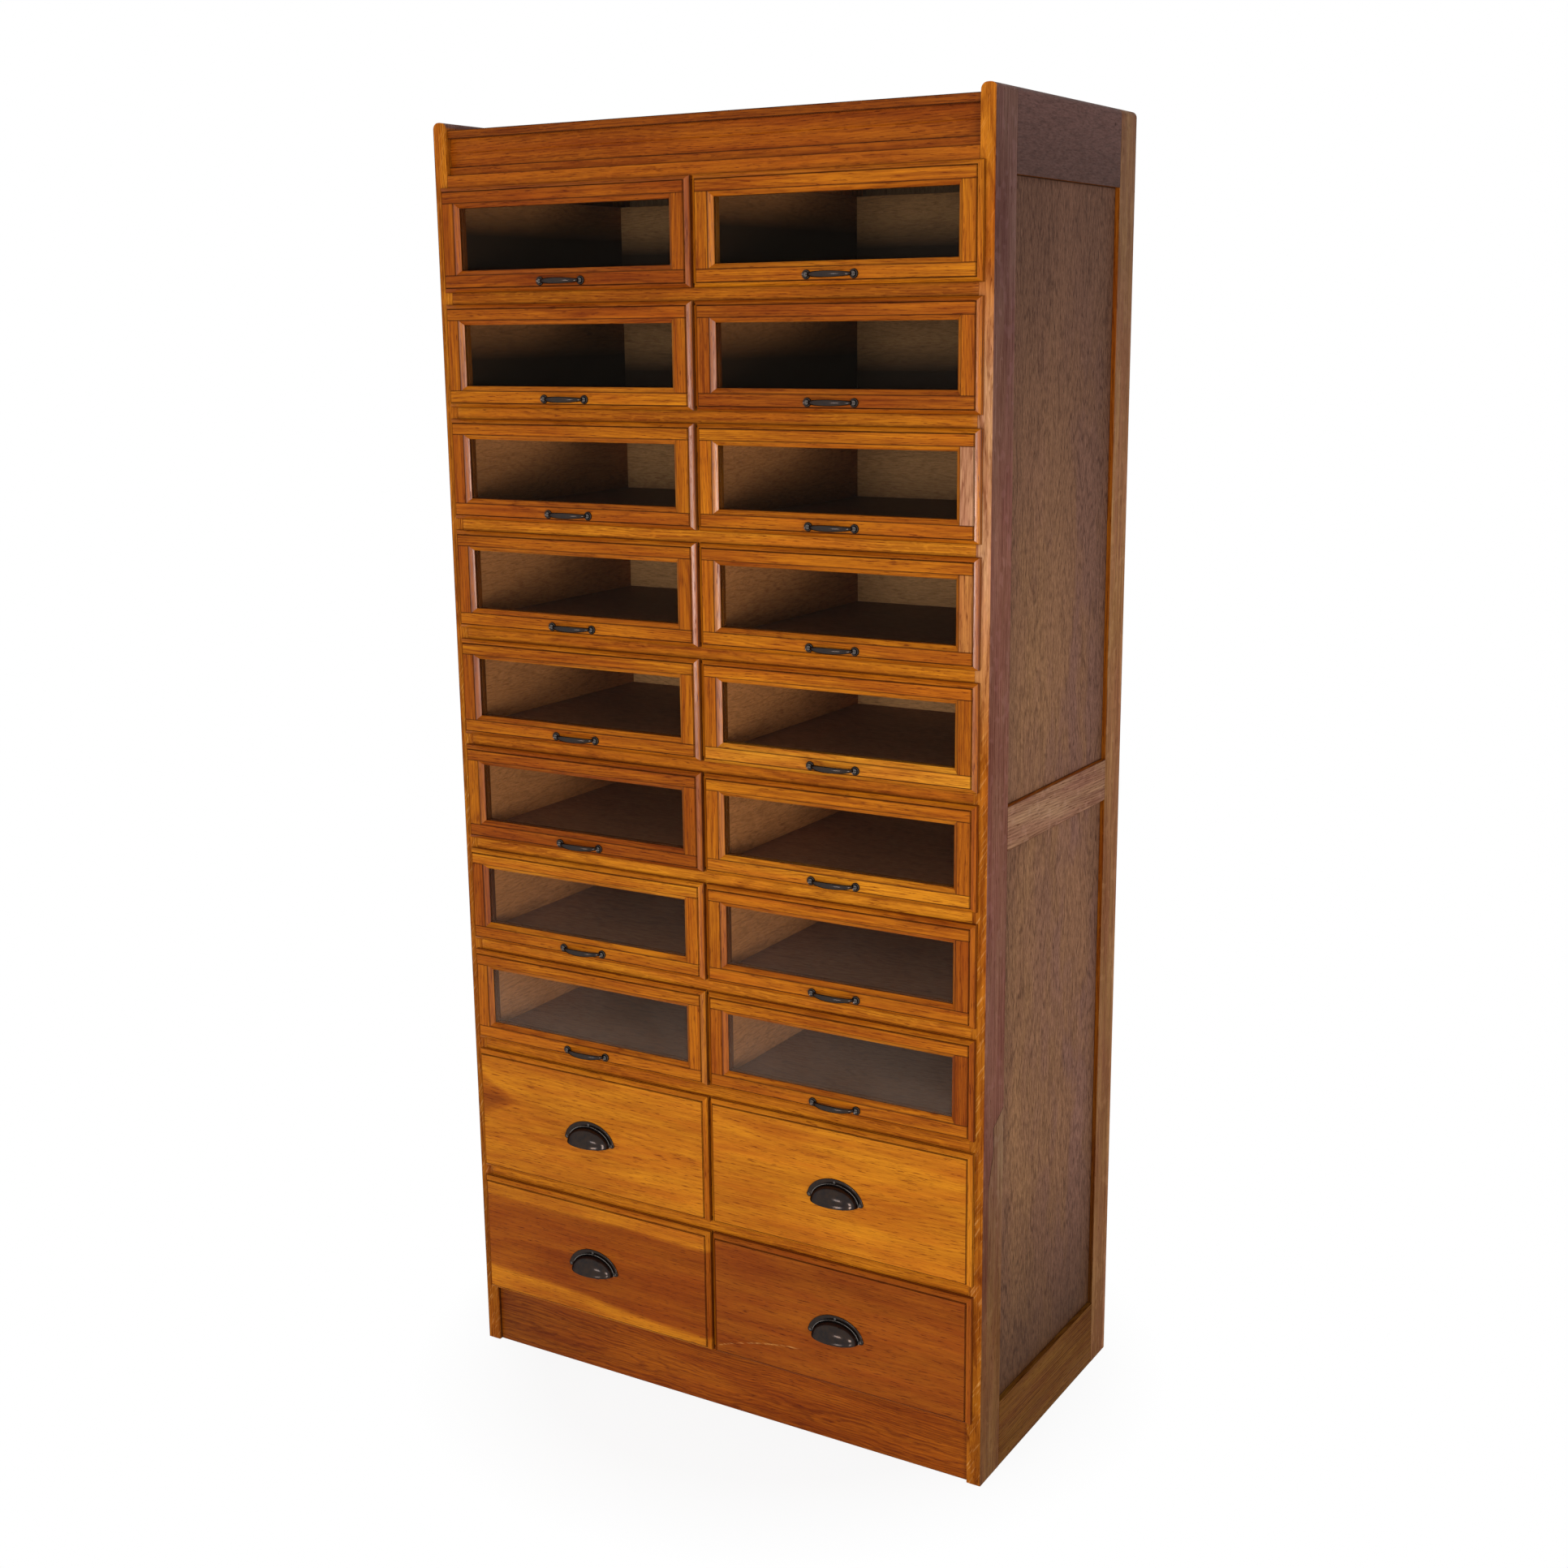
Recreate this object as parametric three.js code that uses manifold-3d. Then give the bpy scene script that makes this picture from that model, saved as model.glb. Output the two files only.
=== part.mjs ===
// A glazed haberdashery cabinet: two columns of ten drawers in an oak carcass. The upper eight rows have
// glazed fronts with bow pulls, and the two lower rows have solid fronts with cup pulls. Millimetres, +Z up,
// the front faces -Y, and the origin is at the middle of the base of the whole cabinet's box.
import * as THREE from "three";
import { mergeVertices } from "three/addons/utils/BufferGeometryUtils.js";
import Module from "manifold-3d";

const wasm = await Module();
wasm.setup();

// Whole carcass, with its front edges on the plane Y = 0 of the design frame.
const cabinet_width = 910;
const cabinet_depth = 475;
const cabinet_height = 1950;
const fit_gap = 0.3;
const cut_overrun = 2;

// Framed sides: stiles and rails round two panels, sunk outside and flush inside, and a bullnosed top edge.
const side_thickness = 22;
const side_front_stile = 63;
const side_rear_stile = 57;
const side_top_rail = 108;
const side_mid_rail = 63;
const side_mid_rail_bottom = 943;
const side_bottom_rail = 105;
const side_panel_recess = 7;
const side_top_radius = 9;
const side_corner_steps = 4;

// Drawer rows, counted from the top: eight glazed, then two solid ones of different heights.
const columns = [
  { name: "left", sign: -1 },
  { name: "right", sign: 1 },
];
const glazed_rows = 8;
const solid_front_heights = [203, 199.5];
const visible_rail = 17;
const step_rail = 18.5;
const lip_overlap_z = 6;
const lip_overlap_x = 8.4;

// Carcass members.
const plinth_height = 104;
const plinth_recess = 6;
const plinth_thickness = 20;
const bottom_board_thickness = 18;
const partition_thickness = 22;
const rail_depth = 40;
const top_board_thickness = 18;
const runner_width = 11;
const runner_height = 20;
const back_panel_thickness = 8;
const back_rebate = 8;

// Cornice above the top row, each strip with its height and its setback from the front plane.
const top_rail_visible = 17.5;
const cornice_low_strip = 12;
const cornice_low_setback = 8;
const cornice_band = 40;
const cornice_band_setback = 12;
const cornice_arris_rise = 3;
const cornice_top_strip = 12;
const cornice_top_setback = 5;
const cornice_depth = 34;
const side_rise_over_cornice = 11.1;

// Drawer fronts: a lip with a moulded edge stands in front of the carcass, and a block fills the opening.
const front_proud = 13;
const front_into_opening = 8;
const lip_edge = 5;
const lip_round_width = 6;
const lip_round_rise = 6.5;
const opening_clearance = 0.8;

// Glazed window in a front: the ovolo moulding, the pane's groove and the pane.
const window_margin_x = 27;
const window_margin_top = 23;
const window_margin_bottom = 24.5;
const ovolo_width = 7;
const ovolo_depth = 7;
const pane_thickness = 3;
const pane_groove_depth = 6;
const pane_clearance = 0.3;

// Drawer boxes.
const box_side_thickness = 10;
const box_depth = 434;
const box_top_clearance = 4.5;
const box_bottom_thickness = 4;
const box_bottom_lift = 6;
const box_side_clearance = 1;
const box_into_front = 4;

// Bow pulls.
const bow_centres = 73;
const bow_foot_radius = 6.5;
const bow_foot_thickness = 2.5;
const bow_reach = 17.5;
const bow_bar_height = 9;
const bow_bar_thickness = 5;
const bow_neck_height = 4.4;
const bow_neck_thickness = 3.6;
const bow_height_over_lip = 14;
const bow_foot_sides = 10;
const bow_bar_sides = 6;
const bow_bar_steps = 8;
const bow_arch_power = 1.4;
const bow_swell_power = 1.5;

// Cup pulls.
const cup_flange_width = 95;
const cup_flange_height = 36;
const cup_flange_thickness = 1.8;
const cup_flange_rim = 8.5;
const cup_reach = 24;
const cup_wall = 2;
const cup_over_centre = 2;
const cup_arc_steps = 12;
const cup_dome_steps = 5;

// Materials: colour, roughness and metalness of each kind of piece.
function finish(name, color, roughness, metalness) {
  const material = new THREE.MeshStandardMaterial({ color, roughness, metalness });
  material.name = name;
  return material;
}
const oak_side = finish("oak_side", 0x8a5a2b, 0.45, 0);
const oak_carcass = finish("oak_carcass", 0xa8672b, 0.45, 0);
const oak_glazed = finish("oak_glazed_drawer", 0xa4601f, 0.4, 0);
const oak_solid = finish("oak_solid_drawer", 0xb5762f, 0.4, 0);
const plywood = finish("plywood_back", 0x9a7a55, 0.7, 0);
const clear_glass = finish("clear_glass", 0xd8e2dc, 0.05, 0);
const dark_bronze = finish("dark_bronze", 0x2d2622, 0.35, 0.9);

// Places that several pieces share.
const side_inner_x = cabinet_width / 2 - side_thickness;
const partition_half = partition_thickness / 2;
const opening_width = side_inner_x - partition_half;
const column_centre = (side_inner_x + partition_half) / 2;
const back_panel_front_y = cabinet_depth - back_panel_thickness;
const frame_back_y = back_panel_front_y - fit_gap;
const front_face_y = -front_proud;
const total_front_y = -front_proud - Math.max(bow_reach, cup_reach) - fit_gap;
const design_centre_y = (cabinet_depth + total_front_y) / 2;

// The glazed fronts share the height that the plinth, the solid fronts, the rails and the cornice leave.
const solid_rows = solid_front_heights.length;
const cornice_height = cornice_low_strip + cornice_band + cornice_top_strip;
const solid_stack = solid_front_heights.reduce((sum, height) => sum + height) + plinth_height - lip_overlap_z;
const rail_stack = visible_rail * (glazed_rows + solid_rows - 2) + step_rail + top_rail_visible;
const glazed_stack = cabinet_height - solid_stack - rail_stack - cornice_height - side_rise_over_cornice;

// Rows from the plinth up, each with the bottom and top of its lipped front.
function drawer_rows() {
  const heights = [...Array(glazed_rows).fill(glazed_stack / glazed_rows), ...solid_front_heights];
  const rows = [];
  let bottom = plinth_height - lip_overlap_z;
  for (let index = heights.length - 1; index >= 0; index -= 1) {
    const top = bottom + heights[index];
    rows.unshift({ number: index + 1, bottom, top, glazed: index < glazed_rows });
    bottom = top + (index === glazed_rows ? step_rail : visible_rail);
  }
  return rows;
}
const rows = drawer_rows();
const top_row_top = rows[0].top;
const cornice_low_bottom = top_row_top + top_rail_visible;
const cornice_band_bottom = cornice_low_bottom + cornice_low_strip;
const cornice_top_bottom = cornice_band_bottom + cornice_band;
const cornice_top = cornice_top_bottom + cornice_top_strip;

// Turns a closed geometry into a solid for cutting and joining.
function solid(geometry) {
  const plain = geometry.index ? geometry.clone() : geometry;
  plain.deleteAttribute("normal");
  plain.deleteAttribute("uv");
  const merged = mergeVertices(plain);
  return new wasm.Manifold(
    new wasm.Mesh({
      numProp: 3,
      vertProperties: new Float32Array(merged.attributes.position.array),
      triVerts: new Uint32Array(merged.index.array),
    }),
  );
}

// Turns a solid back into a geometry with flat normals.
function geometry_of(body) {
  const mesh = body.getMesh();
  const geometry = new THREE.BufferGeometry();
  geometry.setAttribute("position", new THREE.BufferAttribute(new Float32Array(mesh.vertProperties), 3));
  geometry.setIndex(new THREE.BufferAttribute(new Uint32Array(mesh.triVerts), 1));
  const flat = geometry.toNonIndexed();
  flat.computeVertexNormals();
  return flat;
}

// A box between two corners.
function block(low, high) {
  const size = high.map((value, axis) => value - low[axis]);
  const box = new THREE.BoxGeometry(...size);
  box.translate(...high.map((value, axis) => (value + low[axis]) / 2));
  return solid(box);
}

function joined(bodies) {
  return bodies.reduce((whole, body) => whole.add(body));
}

// An outline in Y and Z, drawn out along X.
function drawn_along_x(points, x_low, x_high) {
  const shape = new THREE.Shape(points.map(([y, z]) => new THREE.Vector2(y, z)));
  const geometry = new THREE.ExtrudeGeometry(shape, { depth: x_high - x_low, bevelEnabled: false });
  const turn = new THREE.Matrix4().makeBasis(
    new THREE.Vector3(0, 1, 0),
    new THREE.Vector3(0, 0, 1),
    new THREE.Vector3(1, 0, 0),
  );
  geometry.applyMatrix4(turn);
  geometry.translate(x_low, 0, 0);
  return solid(geometry);
}

// An outline in X and Z, drawn out along Y from the front to the back.
function drawn_along_y(points, y_front, y_back) {
  const shape = new THREE.Shape(points.map(([x, z]) => new THREE.Vector2(x, z)));
  const geometry = new THREE.ExtrudeGeometry(shape, { depth: y_back - y_front, bevelEnabled: false });
  const turn = new THREE.Matrix4().makeBasis(
    new THREE.Vector3(1, 0, 0),
    new THREE.Vector3(0, 0, 1),
    new THREE.Vector3(0, -1, 0),
  );
  geometry.applyMatrix4(turn);
  geometry.translate(0, y_back, 0);
  return solid(geometry);
}

// Rectangles in X and Z at a run of Y places, front first, skinned into one closed body.
function stepped_block(sections) {
  const positions = [];
  const corner = (section, index) => {
    const x = index === 0 || index === 3 ? section.x_low : section.x_high;
    const z = index < 2 ? section.z_low : section.z_high;
    return [x, section.y, z];
  };
  const face = (a, b, c, d) => positions.push(...a, ...b, ...c, ...a, ...c, ...d);
  const first = sections[0];
  const last = sections[sections.length - 1];
  face(...[0, 1, 2, 3].map((index) => corner(first, index)));
  face(...[3, 2, 1, 0].map((index) => corner(last, index)));
  for (let step = 0; step < sections.length - 1; step += 1) {
    for (let index = 0; index < 4; index += 1) {
      const next = (index + 1) % 4;
      const front = sections[step];
      const back = sections[step + 1];
      face(corner(front, next), corner(front, index), corner(back, index), corner(back, next));
    }
  }
  const geometry = new THREE.BufferGeometry();
  geometry.setAttribute("position", new THREE.Float32BufferAttribute(positions, 3));
  return solid(geometry);
}

// A framed side: two panels in a frame of stiles and rails, with a bullnosed top.
function side_body(sign) {
  const outer = cabinet_width / 2;
  const inner = side_inner_x;
  const quarter = (centre_x, start) =>
    Array.from({ length: side_corner_steps + 1 }, (_, step) => {
      const angle = start + (step / side_corner_steps) * (Math.PI / 2);
      const x = centre_x + side_top_radius * Math.cos(angle);
      return [x, cabinet_height - side_top_radius + side_top_radius * Math.sin(angle)];
    });
  const outline = [
    [inner, 0],
    [outer, 0],
    ...quarter(outer - side_top_radius, 0),
    ...quarter(inner + side_top_radius, Math.PI / 2),
  ];
  let body = drawn_along_y(outline, 0, cabinet_depth);
  const panel_front = side_front_stile;
  const panel_back = cabinet_depth - side_rear_stile;
  const panel_heights = [
    [side_bottom_rail, side_mid_rail_bottom],
    [side_mid_rail_bottom + side_mid_rail, cabinet_height - side_top_rail],
  ];
  for (const [low, high] of panel_heights) {
    const sunk = outer - side_panel_recess;
    body = body.subtract(block([sunk, panel_front, low], [outer + cut_overrun, panel_back, high]));
  }
  const rebate_low = [inner - cut_overrun, back_panel_front_y - fit_gap, -cut_overrun];
  const rebate_high = [inner + back_rebate, cabinet_depth + cut_overrun, cabinet_height + cut_overrun];
  body = body.subtract(block(rebate_low, rebate_high));
  return sign > 0 ? body : body.mirror([1, 0, 0]);
}

// Heights of the runners: one under each drawer but the lowest, which stands on the bottom board.
function runner_spans() {
  return rows.slice(0, -1).map((row) => {
    const top = row.bottom + lip_overlap_z;
    return { bottom: top - runner_height, top };
  });
}

// Rails, partition, runners, plinth, bottom and top boards and the cornice, glued up as one frame. Each rail
// carries the runners that start at its back, one along each side and a pair along the partition.
function carcass_body() {
  const end_x = side_inner_x - fit_gap;
  const pieces = [];
  const plinth_back = plinth_recess + plinth_thickness;
  const bottom_low = plinth_height - bottom_board_thickness;
  pieces.push(block([-end_x, plinth_recess, 0], [end_x, plinth_back, plinth_height]));
  pieces.push(block([-end_x, plinth_recess, bottom_low], [end_x, frame_back_y, plinth_height]));
  const board_low = cornice_top - top_board_thickness;
  pieces.push(block([-end_x, cornice_depth / 2, board_low], [end_x, frame_back_y, cornice_top]));
  const muntin_top = top_row_top - lip_overlap_z;
  pieces.push(block([-partition_half, 0, plinth_height], [partition_half, rail_depth, muntin_top]));
  const inside_y = rail_depth - cut_overrun;
  pieces.push(block([-partition_half, inside_y, bottom_low], [partition_half, frame_back_y, cornice_top]));
  rows.slice(1).forEach((row, index) => {
    const low = row.top - lip_overlap_z;
    const high = rows[index].bottom + lip_overlap_z;
    pieces.push(block([-end_x, 0, low], [end_x, rail_depth, high]));
  });
  const reach = partition_half + runner_width;
  const runner_bands = [
    [-end_x, -side_inner_x + runner_width],
    [-reach, reach],
    [side_inner_x - runner_width, end_x],
  ];
  for (const runner of runner_spans()) {
    for (const [x_low, x_high] of runner_bands) {
      pieces.push(block([x_low, inside_y, runner.bottom], [x_high, frame_back_y - fit_gap, runner.top]));
    }
  }
  pieces.push(cornice_piece(end_x));
  return joined(pieces);
}

// The top rail and the cornice strips above it, in one moulded section.
function cornice_piece(end_x) {
  const middle = cornice_band_bottom + cornice_band / 2;
  const outline = [
    [0, top_row_top - lip_overlap_z],
    [rail_depth, top_row_top - lip_overlap_z],
    [rail_depth, cornice_low_bottom],
    [cornice_depth, cornice_low_bottom],
    [cornice_depth, cornice_top],
    [cornice_top_setback, cornice_top],
    [cornice_top_setback, cornice_top_bottom],
    [cornice_band_setback, cornice_top_bottom],
    [cornice_band_setback - cornice_arris_rise, middle],
    [cornice_band_setback, cornice_band_bottom],
    [cornice_low_setback, cornice_band_bottom],
    [cornice_low_setback, cornice_low_bottom],
    [0, cornice_low_bottom],
  ];
  return drawn_along_x(outline, -end_x, end_x);
}

// The lipped front of a drawer, solid all through, centred on X = 0.
function front_block(row) {
  const half_lip = opening_width / 2 + lip_overlap_x;
  const half_fill = opening_width / 2 - opening_clearance;
  const rect = (y, inset) => ({
    y,
    x_low: inset - half_lip,
    x_high: half_lip - inset,
    z_low: row.bottom + inset,
    z_high: row.top - inset,
  });
  const fill = (y) => ({
    y,
    x_low: -half_fill,
    x_high: half_fill,
    z_low: row.bottom + lip_overlap_z + fit_gap,
    z_high: row.top - lip_overlap_z - opening_clearance,
  });
  return stepped_block([
    rect(front_face_y, lip_round_width),
    rect(-lip_edge - lip_round_rise, lip_round_width),
    rect(-lip_edge - lip_round_rise * Math.SQRT1_2, lip_round_width * (1 - Math.SQRT1_2)),
    rect(-lip_edge, 0),
    rect(-fit_gap, 0),
    fill(-fit_gap),
    fill(front_into_opening),
  ]);
}

// The window's opening in X and Z, inset from the moulding's outer line.
function window_rect(row, y, inset) {
  const half = opening_width / 2 + lip_overlap_x - window_margin_x - inset;
  return {
    y,
    x_low: -half,
    x_high: half,
    z_low: row.bottom + window_margin_bottom + inset,
    z_high: row.top - window_margin_top - inset,
  };
}

const pane_front_y = front_face_y + ovolo_depth + 2 * pane_clearance;
const pane_back_y = pane_front_y + pane_thickness;

// Cuts the window with its moulded edge, and the groove that holds the pane.
function glazed_front(row) {
  const window_cut = stepped_block([
    window_rect(row, front_face_y - cut_overrun, 0),
    window_rect(row, front_face_y, 0),
    window_rect(row, front_face_y + ovolo_depth * (1 - Math.SQRT1_2), ovolo_width * Math.SQRT1_2),
    window_rect(row, front_face_y + ovolo_depth, ovolo_width),
    window_rect(row, front_into_opening + cut_overrun, ovolo_width),
  ]);
  const groove = stepped_block([
    window_rect(row, pane_front_y - pane_clearance, ovolo_width - pane_groove_depth),
    window_rect(row, pane_back_y + pane_clearance, ovolo_width - pane_groove_depth),
  ]);
  return front_block(row).subtract(window_cut).subtract(groove);
}

// The box behind a front: two sides, a back and a bottom held in grooves.
function drawer_box(row) {
  const half = opening_width / 2 - box_side_clearance;
  const inner = half - box_side_thickness;
  const front = front_into_opening - box_into_front;
  const low = row.bottom + lip_overlap_z + fit_gap;
  const high = row.top - lip_overlap_z - box_top_clearance;
  const back = box_depth - box_side_thickness;
  const floor_half = inner + box_into_front;
  const floor_low = low + box_bottom_lift;
  const floor_high = floor_low + box_bottom_thickness;
  return joined([
    block([-half, front, low], [-inner, box_depth, high]),
    block([inner, front, low], [half, box_depth, high]),
    block([-half, back, low], [half, box_depth, high]),
    block([-floor_half, front, floor_low], [floor_half, back + box_into_front, floor_high]),
  ]);
}

function drawer_body(row) {
  const front = row.glazed ? glazed_front(row) : front_block(row);
  return joined([front, drawer_box(row)]);
}

// The pane, a plain sheet that sits loose in its groove.
function pane_body(row) {
  const inset = ovolo_width - pane_groove_depth + pane_clearance;
  return stepped_block([window_rect(row, pane_front_y, inset), window_rect(row, pane_back_y, inset)]);
}

// The middle line of a bow's bar: it leaves one foot, arches out and comes back to the other.
function bow_line(share) {
  const half_span = bow_centres / 2 - bow_foot_radius / 2;
  const arch_depth = bow_reach - bow_foot_thickness / 2 - bow_bar_thickness / 2;
  const rise = Math.sin(Math.PI * share) ** bow_arch_power;
  return new THREE.Vector2(-half_span * Math.cos(Math.PI * share), -bow_foot_thickness / 2 - arch_depth * rise);
}

// The oval section of the bar at a share of its length, swelling from the necks to the middle.
function bow_ring(step) {
  const share = step / bow_bar_steps;
  const ahead = bow_line(Math.min(step + 1, bow_bar_steps) / bow_bar_steps);
  const behind = bow_line(Math.max(step - 1, 0) / bow_bar_steps);
  const along = ahead.sub(behind).normalize();
  const centre = bow_line(share);
  const swell = Math.sin(Math.PI * share) ** bow_swell_power;
  const half_height = (bow_neck_height + (bow_bar_height - bow_neck_height) * swell) / 2;
  const half_thickness = (bow_neck_thickness + (bow_bar_thickness - bow_neck_thickness) * swell) / 2;
  return Array.from({ length: bow_bar_sides }, (_, index) => {
    const angle = (index / bow_bar_sides) * 2 * Math.PI;
    const across = half_thickness * Math.cos(angle);
    return [centre.x - across * along.y, centre.y + across * along.x, half_height * Math.sin(angle)];
  });
}

// A bow pull: two round feet and an arched bar, with the feet's backs on Y = 0 and the bar towards -Y.
function bow_body() {
  const radius = bow_foot_radius;
  const feet = [-bow_centres / 2, bow_centres / 2].map((x) => {
    const foot = new THREE.CylinderGeometry(radius, radius, bow_foot_thickness, bow_foot_sides);
    foot.translate(x, -bow_foot_thickness / 2, 0);
    return solid(foot);
  });
  const rings = Array.from({ length: bow_bar_steps + 1 }, (_, step) => bow_ring(step));
  return joined([...feet, skinned(rings)]);
}

// Rings of equally many points, skinned into one closed tube with flat ends.
function skinned(rings) {
  const positions = [];
  const sides = rings[0].length;
  const first = rings[0];
  const last = rings[rings.length - 1];
  for (let index = 1; index < sides - 1; index += 1) {
    positions.push(...first[0], ...first[index + 1], ...first[index]);
    positions.push(...last[0], ...last[index], ...last[index + 1]);
  }
  for (let step = 0; step < rings.length - 1; step += 1) {
    for (let index = 0; index < sides; index += 1) {
      const next = (index + 1) % sides;
      const [a, b] = [rings[step][index], rings[step][next]];
      const [c, d] = [rings[step + 1][next], rings[step + 1][index]];
      positions.push(...a, ...b, ...c, ...a, ...c, ...d);
    }
  }
  const geometry = new THREE.BufferGeometry();
  geometry.setAttribute("position", new THREE.Float32BufferAttribute(positions, 3));
  return solid(geometry);
}

// A cup pull: a half-oval flange and a hollow quarter dome, open below, with the flange's back on Y = 0.
function cup_body() {
  const half = cup_flange_width / 2;
  const flange_points = Array.from({ length: cup_arc_steps + 1 }, (_, step) => {
    const angle = (step / cup_arc_steps) * Math.PI;
    return [half * Math.cos(angle), cup_flange_height * Math.sin(angle)];
  });
  const flange = drawn_along_y(flange_points, -cup_flange_thickness, 0);
  const dome_half = half - cup_flange_rim;
  const dome_height = cup_flange_height - cup_flange_rim;
  const outer = dome(dome_half, cup_reach, dome_height);
  const hollow = dome(dome_half - cup_wall, cup_reach - cup_wall, dome_height - cup_wall);
  const below = block([-half, -cup_reach - cut_overrun, -cup_flange_height], [half, cut_overrun, 0]);
  const behind = block([-half, 0, -cup_flange_height], [half, cup_reach + cut_overrun, cup_flange_height]);
  return joined([flange, outer]).subtract(hollow).subtract(below).subtract(behind);
}

// A whole faceted oval dome round the origin, with its half-sizes along X, Y and Z.
function dome(half_x, half_y, half_z) {
  const ball = new THREE.SphereGeometry(1, 2 * cup_arc_steps, 2 * cup_dome_steps);
  ball.rotateX(Math.PI / 2);
  ball.scale(half_x, half_y, half_z);
  return solid(ball);
}

// The scene graph: the carcass pieces, then each drawer with its pane and its pull.
const group = new THREE.Group();
group.position.set(0, -design_centre_y, 0);

function add_piece(name, body, material, x = 0, y = 0, z = 0) {
  const mesh = new THREE.Mesh(geometry_of(body), material);
  mesh.name = name;
  mesh.position.set(x, y, z);
  group.add(mesh);
}

function back_panel() {
  const half = side_inner_x + back_rebate - fit_gap;
  return block([-half, back_panel_front_y, 0], [half, cabinet_depth, cornice_top]);
}

add_piece("left_side", side_body(-1), oak_side);
add_piece("right_side", side_body(1), oak_side);
add_piece("carcass_frame", carcass_body(), oak_carcass);
add_piece("back_panel", back_panel(), plywood);

const bow = bow_body();
const cup = cup_body();
for (const row of rows) {
  const body = drawer_body(row);
  columns.forEach(({ name, sign }) => {
    const label = `${name}_${String(row.number).padStart(2, "0")}`;
    const x = sign * column_centre;
    add_piece(`drawer_${label}`, body, row.glazed ? oak_glazed : oak_solid, x);
    const pull_y = front_face_y - fit_gap;
    if (row.glazed) {
      add_piece(`pane_${label}`, pane_body(row), clear_glass, x);
      add_piece(`bow_pull_${label}`, bow, dark_bronze, x, pull_y, row.bottom + bow_height_over_lip);
    } else {
      const z = (row.bottom + row.top - cup_flange_height) / 2 + cup_over_centre;
      add_piece(`cup_pull_${label}`, cup, dark_bronze, x, pull_y, z);
    }
  });
}

export default group;
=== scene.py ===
import itertools
import math
import random

import bpy
from mathutils import Matrix, Vector


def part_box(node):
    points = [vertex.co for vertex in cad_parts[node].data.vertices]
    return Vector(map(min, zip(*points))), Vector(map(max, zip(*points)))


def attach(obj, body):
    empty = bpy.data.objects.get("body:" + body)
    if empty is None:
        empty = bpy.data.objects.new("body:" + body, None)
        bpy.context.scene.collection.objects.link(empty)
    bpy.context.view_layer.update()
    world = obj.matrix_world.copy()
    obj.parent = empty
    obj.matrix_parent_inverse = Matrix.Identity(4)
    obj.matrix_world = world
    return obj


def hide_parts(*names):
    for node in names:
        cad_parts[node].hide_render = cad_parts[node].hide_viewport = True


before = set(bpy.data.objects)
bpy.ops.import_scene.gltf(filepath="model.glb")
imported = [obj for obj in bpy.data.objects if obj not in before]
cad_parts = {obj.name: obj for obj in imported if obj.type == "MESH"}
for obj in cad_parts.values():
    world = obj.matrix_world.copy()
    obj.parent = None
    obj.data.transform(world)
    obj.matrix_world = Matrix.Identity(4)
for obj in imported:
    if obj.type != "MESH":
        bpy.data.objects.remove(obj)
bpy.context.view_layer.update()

MM = 0.001

# Rows, counted from the top, and the two columns.
GLAZED_ROWS = 8
ALL_ROWS = 10
COLUMNS = ("left", "right")
COLUMN_CENTRE = 222 * MM

# Fits and depths of the drawer fronts, as in the solids.
CARCASS_GAP = 0.3 * MM
FRONT_PROUD = 13 * MM
FRONT_INTO_OPENING = 8 * MM
LIP_OVERLAP_X = 8.4 * MM
LIP_OVERLAP_Z = 6 * MM
LIP_EDGE = 5 * MM
BEAD_WIDTH = 6 * MM
BEAD_RISE = 6.5 * MM
QUIRK = 1.1 * MM
OPENING_CLEARANCE = 0.8 * MM
OVOLO_WIDTH = 7 * MM
OVOLO_DEPTH = 7 * MM
MOULDING_WEAR = 1.7
MOULDING_STEPS = 7
PANE_IN_GROOVE = 5.7 * MM

# Drawer boxes.
BOX_SIDE = 10 * MM
BOX_CLEARANCE = 1 * MM
BOX_TOP_CLEARANCE = 4.5 * MM
BOX_BOTTOM = 4 * MM
BOX_BOTTOM_LIFT = 6 * MM

# Carcass members.
FRONT_STILE = 63 * MM
REAR_STILE = 57 * MM
SIDE_TOP_RAIL = 108 * MM
SIDE_MID_RAIL = 63 * MM
SIDE_MID_RAIL_BOTTOM = 943 * MM
SIDE_BOTTOM_RAIL = 105 * MM
PANEL_RECESS = 7 * MM
JOINT = 0.25 * MM
BACK_REBATE = 8 * MM
SIDE_TOP_RADIUS = 9 * MM
SIDE_TOP_STEPS = 6
RUNNER_WIDTH = 11 * MM
RUNNER_HEIGHT = 20 * MM
PLINTH_HEIGHT = 104 * MM
PLINTH_RECESS = 6 * MM
PLINTH_THICKNESS = 20 * MM
BOTTOM_BOARD = 18 * MM
PARTITION = 22 * MM
RAIL_DEPTH = 40 * MM
RAIL_SHADE = 3.5 * MM
TOP_BOARD = 18 * MM
TOP_RAIL_VISIBLE = 17.5 * MM
CORNICE_LOW = 12 * MM
CORNICE_LOW_SETBACK = 8 * MM
CORNICE_BAND = 40 * MM
CORNICE_BAND_SETBACK = 12 * MM
CORNICE_ARRIS_RISE = 3 * MM
CORNICE_ARRIS_ROUND = 0.9 * MM
CORNICE_TOP_SETBACK = 5 * MM
CORNICE_DEPTH = 34 * MM
CORNICE_RIM = 1.2 * MM
CORNICE_STRIP_RIM = 1.6 * MM

# The camera stands where the photograph's was: right of the middle, at a standing person's eye height.
CAMERA_FROM_FRONT = Vector((1.5806, -2.4118, 1.6597))
CAMERA_YAW = 0.5401
CAMERA_PITCH = 0.2246
CAMERA_ROLL = -0.0109
CAMERA_LENS = 46.42
CAMERA_SENSOR = 36
CAMERA_NEAREST, CAMERA_FARTHEST = 0.05, 100

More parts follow.
